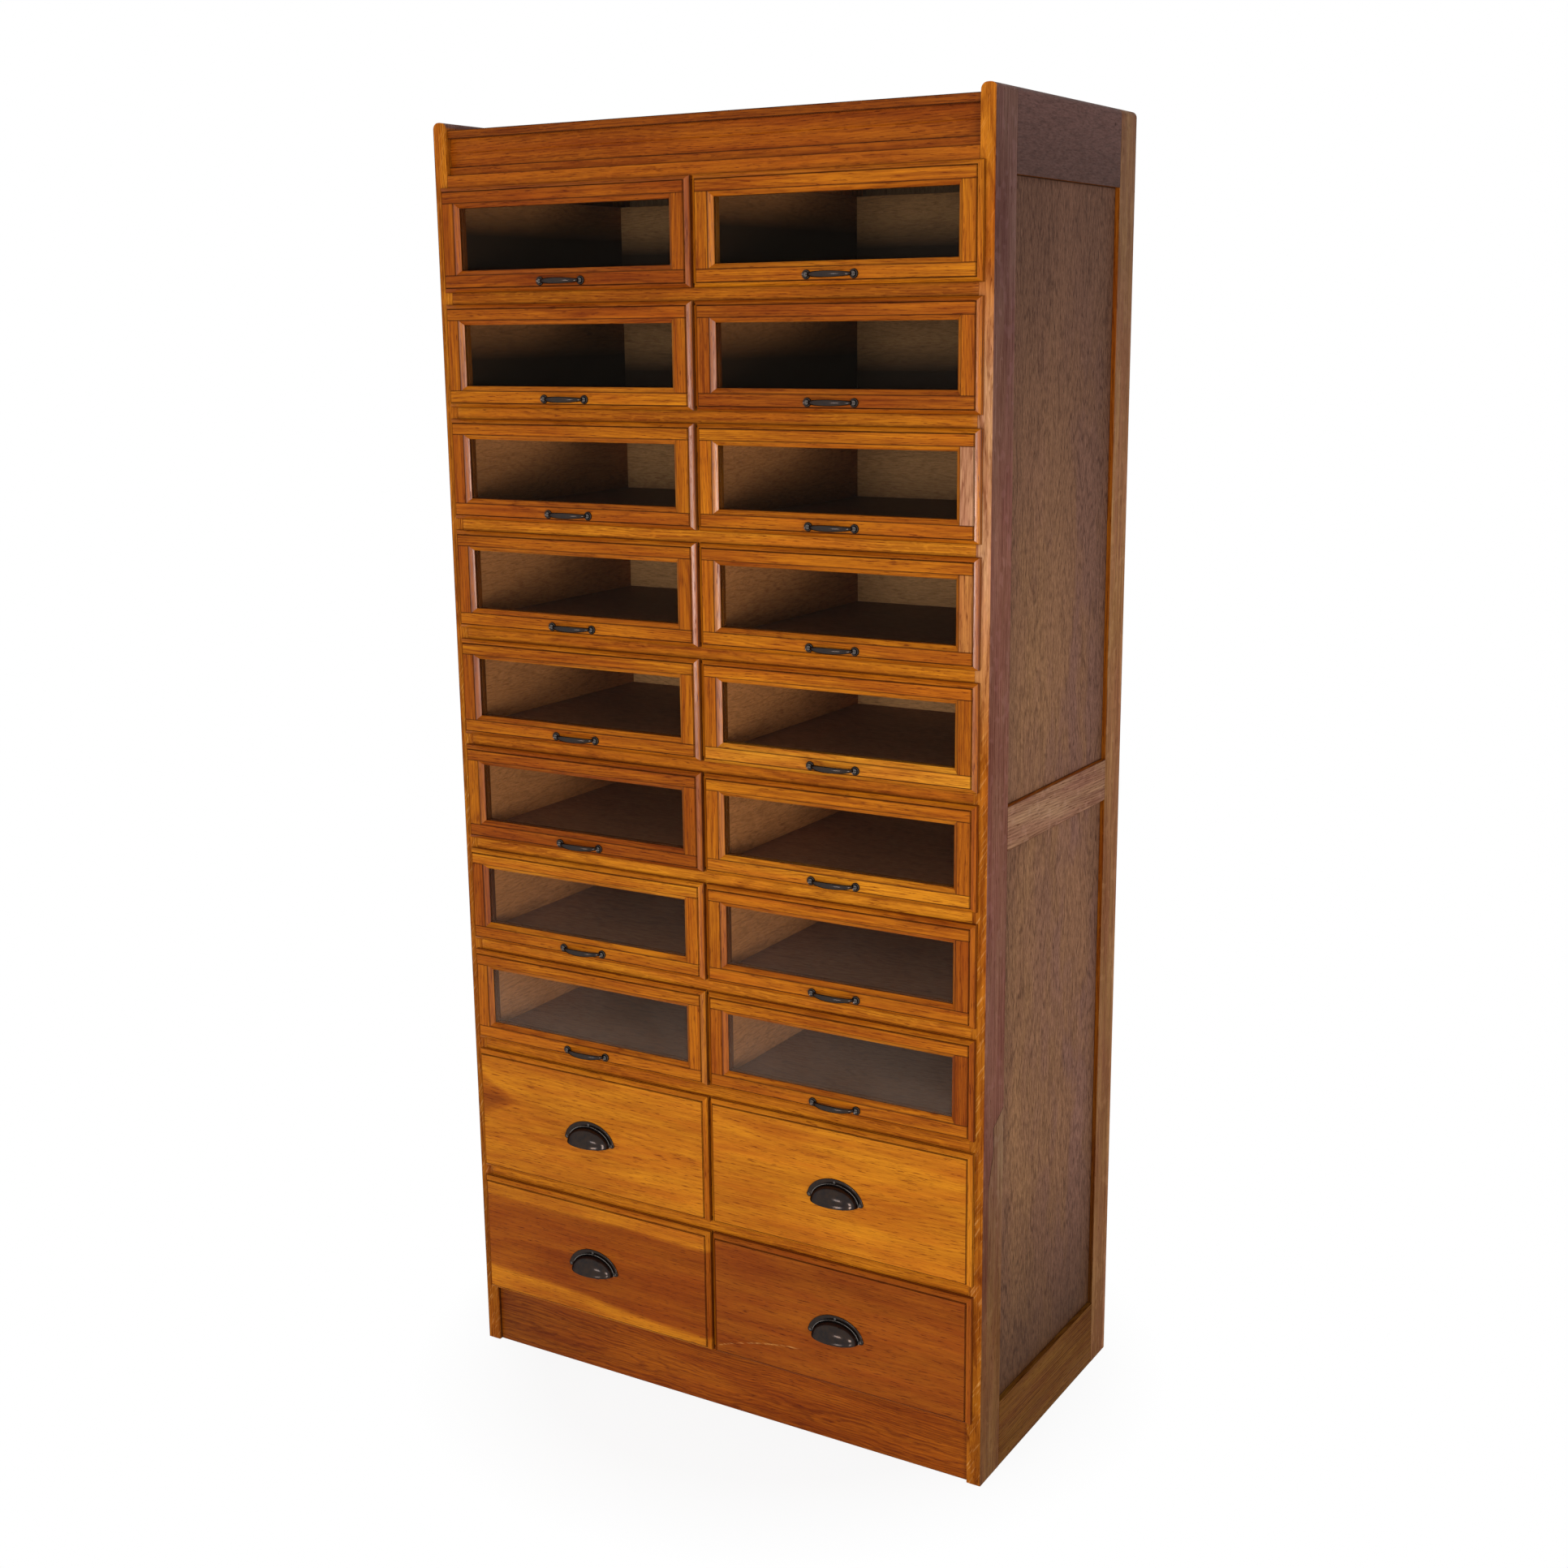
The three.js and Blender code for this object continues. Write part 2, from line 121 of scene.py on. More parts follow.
dice = random.Random(11)
side_low, side_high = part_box("right_side")
frame_low, frame_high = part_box("carcass_frame")
OUTER_FACE, SIDE_TOP = side_high.x, side_high.z
FRONT_EDGE, REAR_EDGE = side_low.y, side_high.y

# The oak's growth rings, the figure of the plywood, and the dark lines in quirks, joints and gaps, partly
# dirt and partly painted shade.
RING_SPACING = 3.6 * MM
RING_WARP, RING_WAVE, RING_TAPER = 50 * MM, 5 * MM, 0.016
NESTED_LINES = 26
DIRT_AND_SHADE_TONE = (0.030, 0.008, 0.002)
SOOT_AND_SHADE_TONE = (0.022, 0.010, 0.004)
# How far the fibres, the glass's draw lines and the patina stand out.
OAK_RELIEF, VENEER_RELIEF, GLASS_RELIEF, BRONZE_RELIEF = 0.25 * MM, 0.2 * MM, 1 * MM, 0.03 * MM
# Where the glass's painted reflection of the floor grows, from its start to where it is full, going down.
FLOOR_REFLECTION_FADE = (1.0, 0.5)


def seen(*rgb):
    """A tone written as it is seen, from 0 to 255, as the light it gives back."""
    return tuple((c / 255 / 12.92) if c < 11 else ((c / 255 + 0.055) / 1.055) ** 2.4 for c in rgb)


# Tones, chosen one by one.
TONES = {word: seen(*rgb) for word, rgb in {
    "straw": (196, 124, 30),
    "honey": (186, 110, 20),
    "amber": (174, 98, 14),
    "ochre": (163, 88, 12),
    "russet": (152, 77, 11),
    "umber": (142, 69, 9),
    "heart": (140, 69, 12),
    "board": (134, 66, 10),
    "edge": (182, 103, 22),
    "reveal": (146, 76, 14),
    "rear_high": (108, 72, 44),
    "crown": (124, 59, 8),
    "browned": (126, 80, 36),
    "dark_brown": (84, 44, 12),
    "fleck": (220, 150, 76),
    "scratch": (226, 170, 96),
    "painted_sheen": (186, 134, 98),
    "faint_painted_sheen": (170, 106, 52),
    "wear_and_sheen": (202, 148, 108),
    "stile": (128, 84, 68),
    "redder": (130, 82, 67),
    "spliced": (142, 106, 78),
    "rear": (154, 106, 64),
    "plum": (91, 61, 55),
    "rose": (140, 99, 72),
    "foot": (104, 64, 22),
    "panel": (123, 87, 63),
    "stain": (116, 82, 70),
    "worn": (134, 98, 66),
    "rim": (94, 65, 50),
    "low": (74, 48, 30),
    "ply": (216, 142, 84),
    "ply_back": (240, 178, 118),
    "ply_floor": (146, 96, 64),
    "sheet": (150, 116, 82),
}.items()}


# Node trees

class Value:
    """What a node gives out. Sums and products of values are nodes in their turn."""

    def __init__(self, made, output=0):
        self.socket = made.outputs[output]
        self.tree = made.id_data

    def __add__(self, other):
        return calculated("ADD", self, other)

    def __sub__(self, other):
        return calculated("SUBTRACT", self, other)

    def __mul__(self, other):
        return calculated("MULTIPLY", self, other)

    def __abs__(self):
        return calculated("ABSOLUTE", self)


def plug(socket, value):
    """Links a value to a socket, or sets a plain number, colour or vector on it."""
    if isinstance(value, Value):
        value.tree.links.new(value.socket, socket)
    elif isinstance(value, (int, float)):
        socket.default_value = value
    else:
        socket.default_value = (*value, 1.0)[:len(socket.default_value)]


def wire(made, inputs):
    for name, value in inputs.items():
        plug(made.inputs[name], value)


def node(tree, kind, inputs=None, **settings):
    made = tree.nodes.new(f"ShaderNode{kind}")
    for name, value in settings.items():
        setattr(made, name, value)
    wire(made, inputs or {})
    return made


def calculated(operation, first, second=0.0):
    return Value(node(first.tree, "Math", {0: first, 1: second}, operation=operation))


def largest(first, second):
    return calculated("MAXIMUM", first, second)


def attribute(tree, name, output):
    return Value(node(tree, "Attribute", attribute_name=name), output)


def place(tree):
    return Value(node(tree, "TexCoord"), "Object")


def noise(vector, scale, detail=2.0, roughness=0.5):
    stretched = Value(node(vector.tree, "VectorMath", {0: vector, 1: scale}, operation="MULTIPLY"))
    inputs = {"Vector": stretched, "Scale": 1.0, "Detail": detail, "Roughness": roughness}
    return Value(node(vector.tree, "TexNoise", inputs), "Fac")


def ranged(value, low, high, out_low=0.0, out_high=1.0):
    """Maps a stretch of a value onto another stretch, and stops at its ends."""
    inputs = {"Value": value, "From Min": low, "From Max": high, "To Min": out_low, "To Max": out_high}
    return Value(node(value.tree, "MapRange", inputs, clamp=True), "Result")


def mixed(share, first, second, blend="MIX"):
    """Mixes two colours by a share, which is held between 0 and 1."""
    tree = next(value.tree for value in (share, first) if isinstance(value, Value))
    return Value(node(tree, "Mix", {0: share, 6: first, 7: second}, data_type="RGBA", blend_type=blend), 2)


def tinted(tone, tint, share=1.0):
    return mixed(share, tone, tint, "MULTIPLY")


def layered(tone, *layers):
    """Lays colours over a tone, one after another, each by its share."""
    for share, colour in layers:
        tone = mixed(share, tone, colour)
    return tone


def split(vector):
    parts = node(vector.tree, "SeparateXYZ", {0: vector})
    return [Value(parts, axis) for axis in range(3)]


def blended(share, first, second):
    """Mixes two surfaces, given as their nodes."""
    return Value(node(share.tree, "MixShader", {0: share, 1: Value(first), 2: Value(second)}))


def new_material(name):
    material = bpy.data.materials.new(name)
    material.use_nodes = True
    tree = material.node_tree
    return material, tree, tree.nodes["Principled BSDF"]


def bumped(shader, height, distance, strength):
    relief = node(height.tree, "Bump", {"Distance": distance, "Strength": strength, "Height": height})
    plug(shader.inputs["Normal"], Value(relief))


def wood(name, figure):
    """A new material and its shader, with what the boards carry: their own coordinates, with X along the
    fibres, their tone, which a figure may change, and the dirt along their edges."""
    material, tree, shader = new_material(name)
    tone = attribute(tree, "tone", "Color")
    if figure:
        tone = figure(tone)
    return material, shader, attribute(tree, "grain", "Vector"), tone, attribute(tree, "edge", "Fac")


# Varnished oak, with growth rings round a pith line, fibres, open pores and, where asked for, ray flecks.
def oak(name, rings=0.6, flecks=0.0, gloss=0.36, shine=0.07, figure=None, depth=1.0, ruffle=1.0):
    material, shader, grain, tone, edge = wood(name, figure)
    x, y, z = split(grain)
    warp = noise(grain, (1.8, 9, 9))
    wave = noise(grain, (9, 45, 45), 3)
    radius = calculated("SQRT", y * y + z * z)
    radius = radius + warp * RING_WARP + wave * (RING_WAVE * ruffle) + x * RING_TAPER
    turn = calculated("SINE", radius * (2 * math.pi / RING_SPACING))
    fibre = noise(grain, (26, 800, 800), 3, 0.65)
    streak = noise(grain, (5.0, 260, 260), 4, 0.68)
    cloud = noise(grain, (3.6, 20, 20), 3)
    blush = noise(grain, (5.5, 38, 38), 3, 0.55)
    shade = (
        ranged(turn, -0.2, 1.0) * rings * 0.36
        + ranged(streak, 0.34, 0.66, 0.25 - 0.31 * depth, 0.25 + 0.31 * depth)
        + ranged(fibre, 0.34, 0.66, 0.12 - 0.24 * depth, 0.12 + 0.24 * depth)
        + ranged(cloud, 0.30, 0.70, -0.16, 0.26)
    )
    golden, red = tinted(tone, (1.10, 1.18, 1.10)), tinted(tone, (0.90, 0.78, 0.80))
    tone = mixed(ranged(blush, 0.36, 0.64), golden, red)
    light, dark = tinted(tone, (1.36, 1.44, 1.50)), tinted(tone, (0.58, 0.46, 0.40))
    colour = mixed(shade, light, dark)
    pores = ranged(noise(grain, (60, 900, 900)), 0.57, 0.66) * ranged(turn, -0.8, 0.9, 0.30, 0.95)
    colour = mixed(pores, colour, tinted(tone, (0.36, 0.22, 0.15)))
    if flecks:
        ray = noise(grain, (60, 210, 70), 1, 0.4)
        colour = mixed(ranged(ray, 0.60, 0.68, 0.0, flecks), colour, tinted(tone, (1.45, 1.6, 2.0)))
    # The edge mark darkens joints, quirks and gaps: partly dirt, partly painted shade.
    dirt_and_shade = edge * ranged(wave, 0.3, 0.7, 0.75, 1.0)
    dull = ranged(cloud, 0.3, 0.7, gloss - 0.06, gloss + 0.08) + pores * 0.2 + dirt_and_shade * 0.5
    wire(shader, {"Base Color": mixed(dirt_and_shade, colour, DIRT_AND_SHADE_TONE), "Roughness": dull, "Specular IOR Level": shine})
    bumped(shader, fibre - pores * 1.5 + wave * 1.2, OAK_RELIEF, 0.35)
    return material


# Rotary-cut plywood, or oak as swirled: short dashes and pores over a figure of wandering nested lines.
def veneer(name, contrast=1.0, dull=0.6, level=0.15, figure=None):
    material, shader, grain, tone, edge = wood(name, figure)
    nested = calculated("SINE", noise(grain, (1.6, 9, 9), 3, 0.55) * (2 * math.pi * NESTED_LINES))
    fibre = noise(grain, (24, 420, 420), 3, 0.6)
    dash = noise(grain, (90, 520, 520), 3, 0.75)
    cloud = noise(grain, (2.4, 7, 7), 3)
    shade = (
        ranged(nested, 0.4, 1.0, 0.0, 0.30)
        + ranged(dash, 0.36, 0.64, -0.05, 0.58)
        + ranged(fibre, 0.32, 0.68, -0.03, 0.25)
        + ranged(cloud, 0.3, 0.7, -0.14, 0.16)
    )
    light, dark = tinted(tone, (1.48, 1.46, 1.44), contrast), tinted(tone, (0.48, 0.42, 0.40), contrast)
    colour = mixed(shade, light, dark)
    pores = ranged(noise(grain, (70, 520, 520)), 0.58, 0.66, 0.0, 0.75)
    colour = mixed(pores * contrast, colour, tinted(tone, (0.34, 0.27, 0.24)))
    # The edge mark is dirt along the rims and painted shade, most of all inside the drawers.
    wire(shader, {
        "Base Color": mixed(edge, colour, SOOT_AND_SHADE_TONE),
        "Roughness": ranged(dash, 0.3, 0.7, dull - 0.08, dull + 0.08),
        "Specular IOR Level": level,
    })
    bumped(shader, fibre + dash, VENEER_RELIEF, 0.3)
    return material


# Marks on the boards. A pair of heights or distances is a fade, from where it starts to where it is full.
STILE_FADE = 0.5 * MM
PANEL_RIM_FADE, PANEL_LOW_FADE = (1.15, 1.78), (0.42, 0.12)
EDGE_FADE, CROWN_FADE, FACE_FADE = (2 * MM, 4 * MM), (-9 * MM, -6 * MM), (-1.2 * MM, -0.4 * MM)
RIGHT_HALF = (0.0, 0.01)
SHEEN_FROM, SHEEN_TO = (1.08, 1.34), (1.74, 1.58)
FLECK_SLANT, FLECK_FADE = math.radians(-30), (1.3, 1.0)
REVEAL_SHADE_FADE, BROWNED_BELOW, DARKENED_ABOVE = (0.60, 0.15), (0.50, 0.22), (1.35, 1.75)
SPLICE_IN, SPLICE_TOP, SPLICE_SHOULDER, SPLICE_TAPER = 31 * MM, (0.569, 0.568), (0.547, 0.568), (0.51, 0.46)
CRACK_WIDTH, CRACK_FROM = (1.8 * MM, 0.8 * MM), (0.43, 0.47)
NAIL_BEHIND_FRONT, NAIL_HEIGHT, NAIL_HOLE = 394 * MM, 1926.5 * MM, (3.2 * MM, 1.6 * MM)
SAPWOOD_TOP, SAPWOOD_BOTTOM, SAPWOOD_WANDER = 268 * MM, 132 * MM, 22 * MM
SAPWOOD_TOP_FADE, SAPWOOD_BOTTOM_FADE = (-3 * MM, 4 * MM), (-3 * MM, 5 * MM)
SAPWOOD_TOP_SLOPE, SAPWOOD_BOTTOM_SLOPE = 0.012, 0.062
KNOT_LEFT, KNOT_HEIGHT, KNOT_WANDER, KNOT_SLOPE = -441 * MM, 441 * MM, 30 * MM, 0.53
KNOT_FLAME, KNOT_CORE, KNOT_CORE_TOP = (44 * MM, 36 * MM), (34 * MM, 26 * MM), (452 * MM, 444 * MM)
PLINTH_DARKENS = (-0.15, -0.45)
SCRATCH_LEFT, SCRATCH_HEIGHT, SCRATCH_WIDTH = 3 * MM, 111 * MM, (1.6 * MM, 0.4 * MM)
SCRATCH_ENDS = (165 * MM, 140 * MM), (8 * MM, 20 * MM)
SCRATCH_SLOPE, SCRATCH_BEND = 0.40, 1.1


# The side panels are golden-brown towards the front, stained purple in patches towards the back, and darker
# along their rims, high up and low down.
def aged(tone):
    where = place(tone.tree)
    _, y, z = split(where)
    patch = noise(where, (1, 9, 3.4), 3, 0.6)
    across = ranged(y, FRONT_EDGE + FRONT_STILE, REAR_EDGE - REAR_STILE)
    return layered(
        tone,
        (ranged(across, 0.72, 0.30, 0.0, 0.7) * ranged(patch, 0.62, 0.42), TONES["worn"]),
        (ranged(across, 0.20, 0.70, 0.0, 0.8) * ranged(patch, 0.46, 0.56), TONES["stain"]),
        (ranged(abs(across - 0.5), 0.34, 0.5, 0.0, 0.75), TONES["rim"]),
        (ranged(z, *PANEL_RIM_FADE), TONES["rim"]),
        (ranged(z, *PANEL_LOW_FADE, 0.0, 0.9), TONES["low"]),
    )


# The sides are purple-brown on their outer faces and along the top and golden on their front edges: partly
# their own weathered colour, partly painted shade and sheen on the faces and painted light on the edges. The
# reveals are a darker golden brown. Low on the right front stile a lighter strip is spliced in, and the top
# rail has a nail hole.
def weathered(tone):
    where = place(tone.tree)
    x, y, z = split(where)
    on_right = ranged(x, *RIGHT_HALF)
    on_stile = ranged(y, FRONT_EDGE + FRONT_STILE, FRONT_EDGE + FRONT_STILE - STILE_FADE)
    on_rear = ranged(y, REAR_EDGE - REAR_STILE, REAR_EDGE - REAR_STILE + STILE_FADE)
    behind_edge = ranged(y, FRONT_EDGE + EDGE_FADE[0], FRONT_EDGE + EDGE_FADE[1])
    crown = ranged(z, SIDE_TOP + CROWN_FADE[0], SIDE_TOP + CROWN_FADE[1]) * behind_edge
    face = largest(ranged(abs(x), OUTER_FACE + FACE_FADE[0], OUTER_FACE + FACE_FADE[1]), crown)

    slant = {"Vector": where, "Angle": FLECK_SLANT}
    slanted = Value(node(tone.tree, "VectorRotate", slant, rotation_type="Y_AXIS"))
    flecked = ranged(noise(slanted, (420, 1, 34)), 0.58, 0.68, 0.0, 0.75) * ranged(z, *FLECK_FADE, 0.25, 1.0)
    # A band of the right front edge, high up, is painted pale: a painted sheen of a window on its arris.
    wear_and_sheen = ranged(z, *SHEEN_FROM) * ranged(z, *SHEEN_TO) * on_right * 0.85
    front_tone = mixed(flecked, mixed(wear_and_sheen, TONES["edge"], TONES["wear_and_sheen"]), TONES["fleck"])
    # The reveals are painted darker than the front edges, darkest low down: painted shade.
    shaded_reveal_tone = mixed(ranged(z, *REVEAL_SHADE_FADE), TONES["reveal"], TONES["dark_brown"])
    edge_tone = mixed(behind_edge, front_tone, shaded_reveal_tone)

    patch = noise(where, (1, 14, 3), 3, 0.55)
    splice = ranged(z, *SPLICE_SHOULDER, SPLICE_IN, FRONT_STILE) + FRONT_EDGE
    beyond = y - (splice + ranged(z, *SPLICE_TAPER, 0.0, -0.5 * SPLICE_IN))
    spliced = ranged(z, *SPLICE_TOP) * on_right * on_stile
    crack = spliced * ranged(abs(beyond), *CRACK_WIDTH, 0.0, 0.8)
    nail = (OUTER_FACE, FRONT_EDGE + NAIL_BEHIND_FRONT, NAIL_HEIGHT)
    from_nail = Value(node(tone.tree, "VectorMath", {0: where, 1: nail}, operation="DISTANCE"), "Value")
    tone = layered(
        tone,
        (on_stile * ranged(patch, 0.42, 0.58), TONES["redder"]),
        (spliced * ranged(beyond, 0.0, STILE_FADE), TONES["spliced"]),
        (crack * ranged(z, *CRACK_FROM), DIRT_AND_SHADE_TONE),
        (on_stile * ranged(z, *BROWNED_BELOW, 0.0, 0.85), TONES["browned"]),
        (ranged(z, *DARKENED_ABOVE, 0.0, 0.8) * (on_stile + on_rear),
         mixed(on_rear, TONES["plum"], TONES["rear_high"])),
        (ranged(from_nail, *NAIL_HOLE, 0.0, 0.9), DIRT_AND_SHADE_TONE),
    )
    return mixed(face, edge_tone, tone)


# Sapwood bands along the top and the bottom of the dark lower left front, each with a wandering edge.
def sapwood(tone):
    where = place(tone.tree)
    x, _, z = split(where)
    along = x + COLUMN_CENTRE
    wander = (noise(where, (5, 1, 14), 3) - 0.5) * SAPWOOD_WANDER
    top = z + wander - SAPWOOD_TOP + along * SAPWOOD_TOP_SLOPE
    bottom = z * -1.0 - wander * 0.8 + SAPWOOD_BOTTOM - along * SAPWOOD_BOTTOM_SLOPE
    band = largest(ranged(top, *SAPWOOD_TOP_FADE), ranged(bottom, *SAPWOOD_BOTTOM_FADE))
    return mixed(band * 0.85, tone, TONES["honey"])


# A dark three-cornered knot figure on the left edge of the pale upper left front.
def knot(tone):
    where = place(tone.tree)
    x, _, z = split(where)
    wander = (noise(where, (18, 1, 40), 3) - 0.5) * KNOT_WANDER
    height = abs(z - KNOT_HEIGHT + wander * 0.35)
    away = (x - KNOT_LEFT) * KNOT_SLOPE + height + wander * 0.3
    core = ranged(away, *KNOT_CORE, 0.0, 0.8) * ranged(z, *KNOT_CORE_TOP)
    return layered(tone, (ranged(away, *KNOT_FLAME, 0.0, 0.7), TONES["russet"]), (core, TONES["board"]))


# The plinth darkens towards its left end.
def darker_end(tone):
    x = split(place(tone.tree))[0]
    return mixed(ranged(x, *PLINTH_DARKENS, 0.0, 0.45), tone, TONES["dark_brown"])


# A pale scratch that breaks up along its length, low on the left of the lower right front.
def scratched(tone):
    where = place(tone.tree)
    x, _, z = split(where)
    along = x - SCRATCH_LEFT
    rise = along * SCRATCH_SLOPE - along * along * SCRATCH_BEND
    line = ranged(abs(z - SCRATCH_HEIGHT - rise), *SCRATCH_WIDTH)
    line = line * ranged(noise(where, (90, 1, 500)), 0.42, 0.6)
    for end in SCRATCH_ENDS:
        line = line * ranged(along, *end)
    return mixed(line * 0.5, tone, TONES["scratch"])


# Old drawn sheet glass: what stands behind shows through, with a faint shine and, lower down, a pale veil
# that is a painted reflection of the floor.
def sheet_glass(name):
    material, tree, shader = new_material(name)
    where = place(tree)
    clear = node(tree, "BsdfTransparent", {"Color": (0.96, 0.965, 0.95)})
    haze = noise(where, (7, 7, 7), 4, 0.6)
    wire(shader, {"Base Color": (0.84, 0.70, 0.58), "Roughness": ranged(haze, 0.3, 0.7, 0.04, 0.12)})
    bumped(shader, noise(where, (2, 2, 9), 1), GLASS_RELIEF, 0.05)
    facing = Value(node(tree, "LayerWeight"), "Facing")
    shine = calculated("POWER", facing, 5.0) * 0.9 + 0.0023
    low_down = ranged(split(where)[2], *FLOOR_REFLECTION_FADE)
    painted_floor_reflection = low_down * low_down * ranged(haze, 0.3, 0.7, 0.024, 0.050)
    plug(tree.nodes["Material Output"].inputs["Surface"], blended(shine + painted_floor_reflection, clear, shader))
    return material


# Bronze under a near-black, glossy patina, paler along its raised lines and edges: rubbed there, and on the
# cup's fine line and the bow's middle partly a painted highlight.
def bronze(name):
    material, tree, shader = new_material(name)
    where = place(tree)
    cloud = noise(where, (120, 120, 120), 4, 0.6)
    fine = noise(where, (900, 900, 900), 3, 0.6)
    colour = mixed(ranged(cloud, 0.35, 0.65), (0.040, 0.027, 0.021), (0.026, 0.021, 0.020))
    wear_and_sheen = attribute(tree, "edge", "Fac") * ranged(cloud, 0.35, 0.65, 0.7, 1.0)
    wire(shader, {
        "Base Color": mixed(wear_and_sheen, colour, (0.42, 0.38, 0.35)),
        "Metallic": 0.9,
        "Specular Tint": (0.35, 0.37, 0.40),
        "Roughness": ranged(fine, 0.3, 0.7, 0.15, 0.22),
    })
    bumped(shader, cloud, BRONZE_RELIEF, 0.1)
    return material


front_oak = oak("front_oak")
polished_oak = oak("polished_oak", gloss=0.26, shine=0.5)
matt_oak = oak("matt_oak", gloss=0.6, shine=0.0)
satin_oak = oak("satin_oak", gloss=0.30, shine=0.25)
plain_oak = oak("plain_oak", rings=0.25, depth=0.5)
sapwood_oak = oak("sapwood_oak", rings=0.2, figure=sapwood, depth=0.6)
knotty_oak = oak("knotty_oak", rings=0.25, figure=knot, depth=0.5)
scratched_oak = oak("scratched_oak", rings=0.15, figure=scratched, depth=0.55)
carcass_oak = oak("carcass_oak", flecks=0.35)
flank_oak = oak("flank_oak", rings=1.0, flecks=0.3, gloss=0.44, shine=0.04, figure=weathered)
foot_oak = oak("foot_oak", rings=1.0, gloss=0.5, shine=0.01)
plinth_oak = oak("plinth_oak", rings=1.0, figure=darker_end, ruffle=4.0)
panel_ply = veneer("flank_panel", level=0.04, figure=aged)
swirled_oak = veneer("swirled_oak", 0.6, 0.5, 0.04, weathered)
box_ply = veneer("drawer_plywood", 0.5, 0.62)
floor_ply = veneer("drawer_floor", 0.7, 0.55)
pane_glass = sheet_glass("pane_glass")
pull_bronze = bronze("pull_bronze")


# Boards

LENGTH_AXES = {"x": (0, 2, 1), "z": (2, 0, 1), "y": (1, 0, 2), "x_flat": (0, 1, 2)}
# Where the pith may lie beside and below a board, where along a trunk it was cut, and how far tones stray.
PITH_BESIDE, PITH_BELOW, TRUNK = (-0.05, 0.05), (0.01, 0.09), (-20, 20)
FRONT_PITH_BESIDE, FRONT_PITH_BELOW = (-0.06, 0.06), (0.015, 0.10)
PLINTH_PITH = (0.02, 0.03)
TONES_STRAY = (-0.05, 0.05)
BOARD_RIM = 1.0 * MM
BOARD_RIM_SHARE = 0.4
BOARD_SOFT = 0.6 * MM
RUN_RIM = 0.8 * MM


def new_object(name, data):
    made = bpy.data.objects.new(name, data)
    bpy.context.scene.collection.objects.link(made)
    return made


def skinned(rings, count):
    """Faces over rings of equally many points and over both ends. They face outwards if the rings turn
    anticlockwise as seen from before the first one."""
    last = (rings - 1) * count
    faces = [tuple(range(count)), tuple(range(last + count - 1, last - 1, -1))]
    for base in range(0, last, count):
        for index in range(count):
            a, b = base + index, base + (index + 1) % count
            faces.append((a, a + count, b + count, b))
    return faces


def turned_over(face):
    return face[:1] + face[:0:-1]


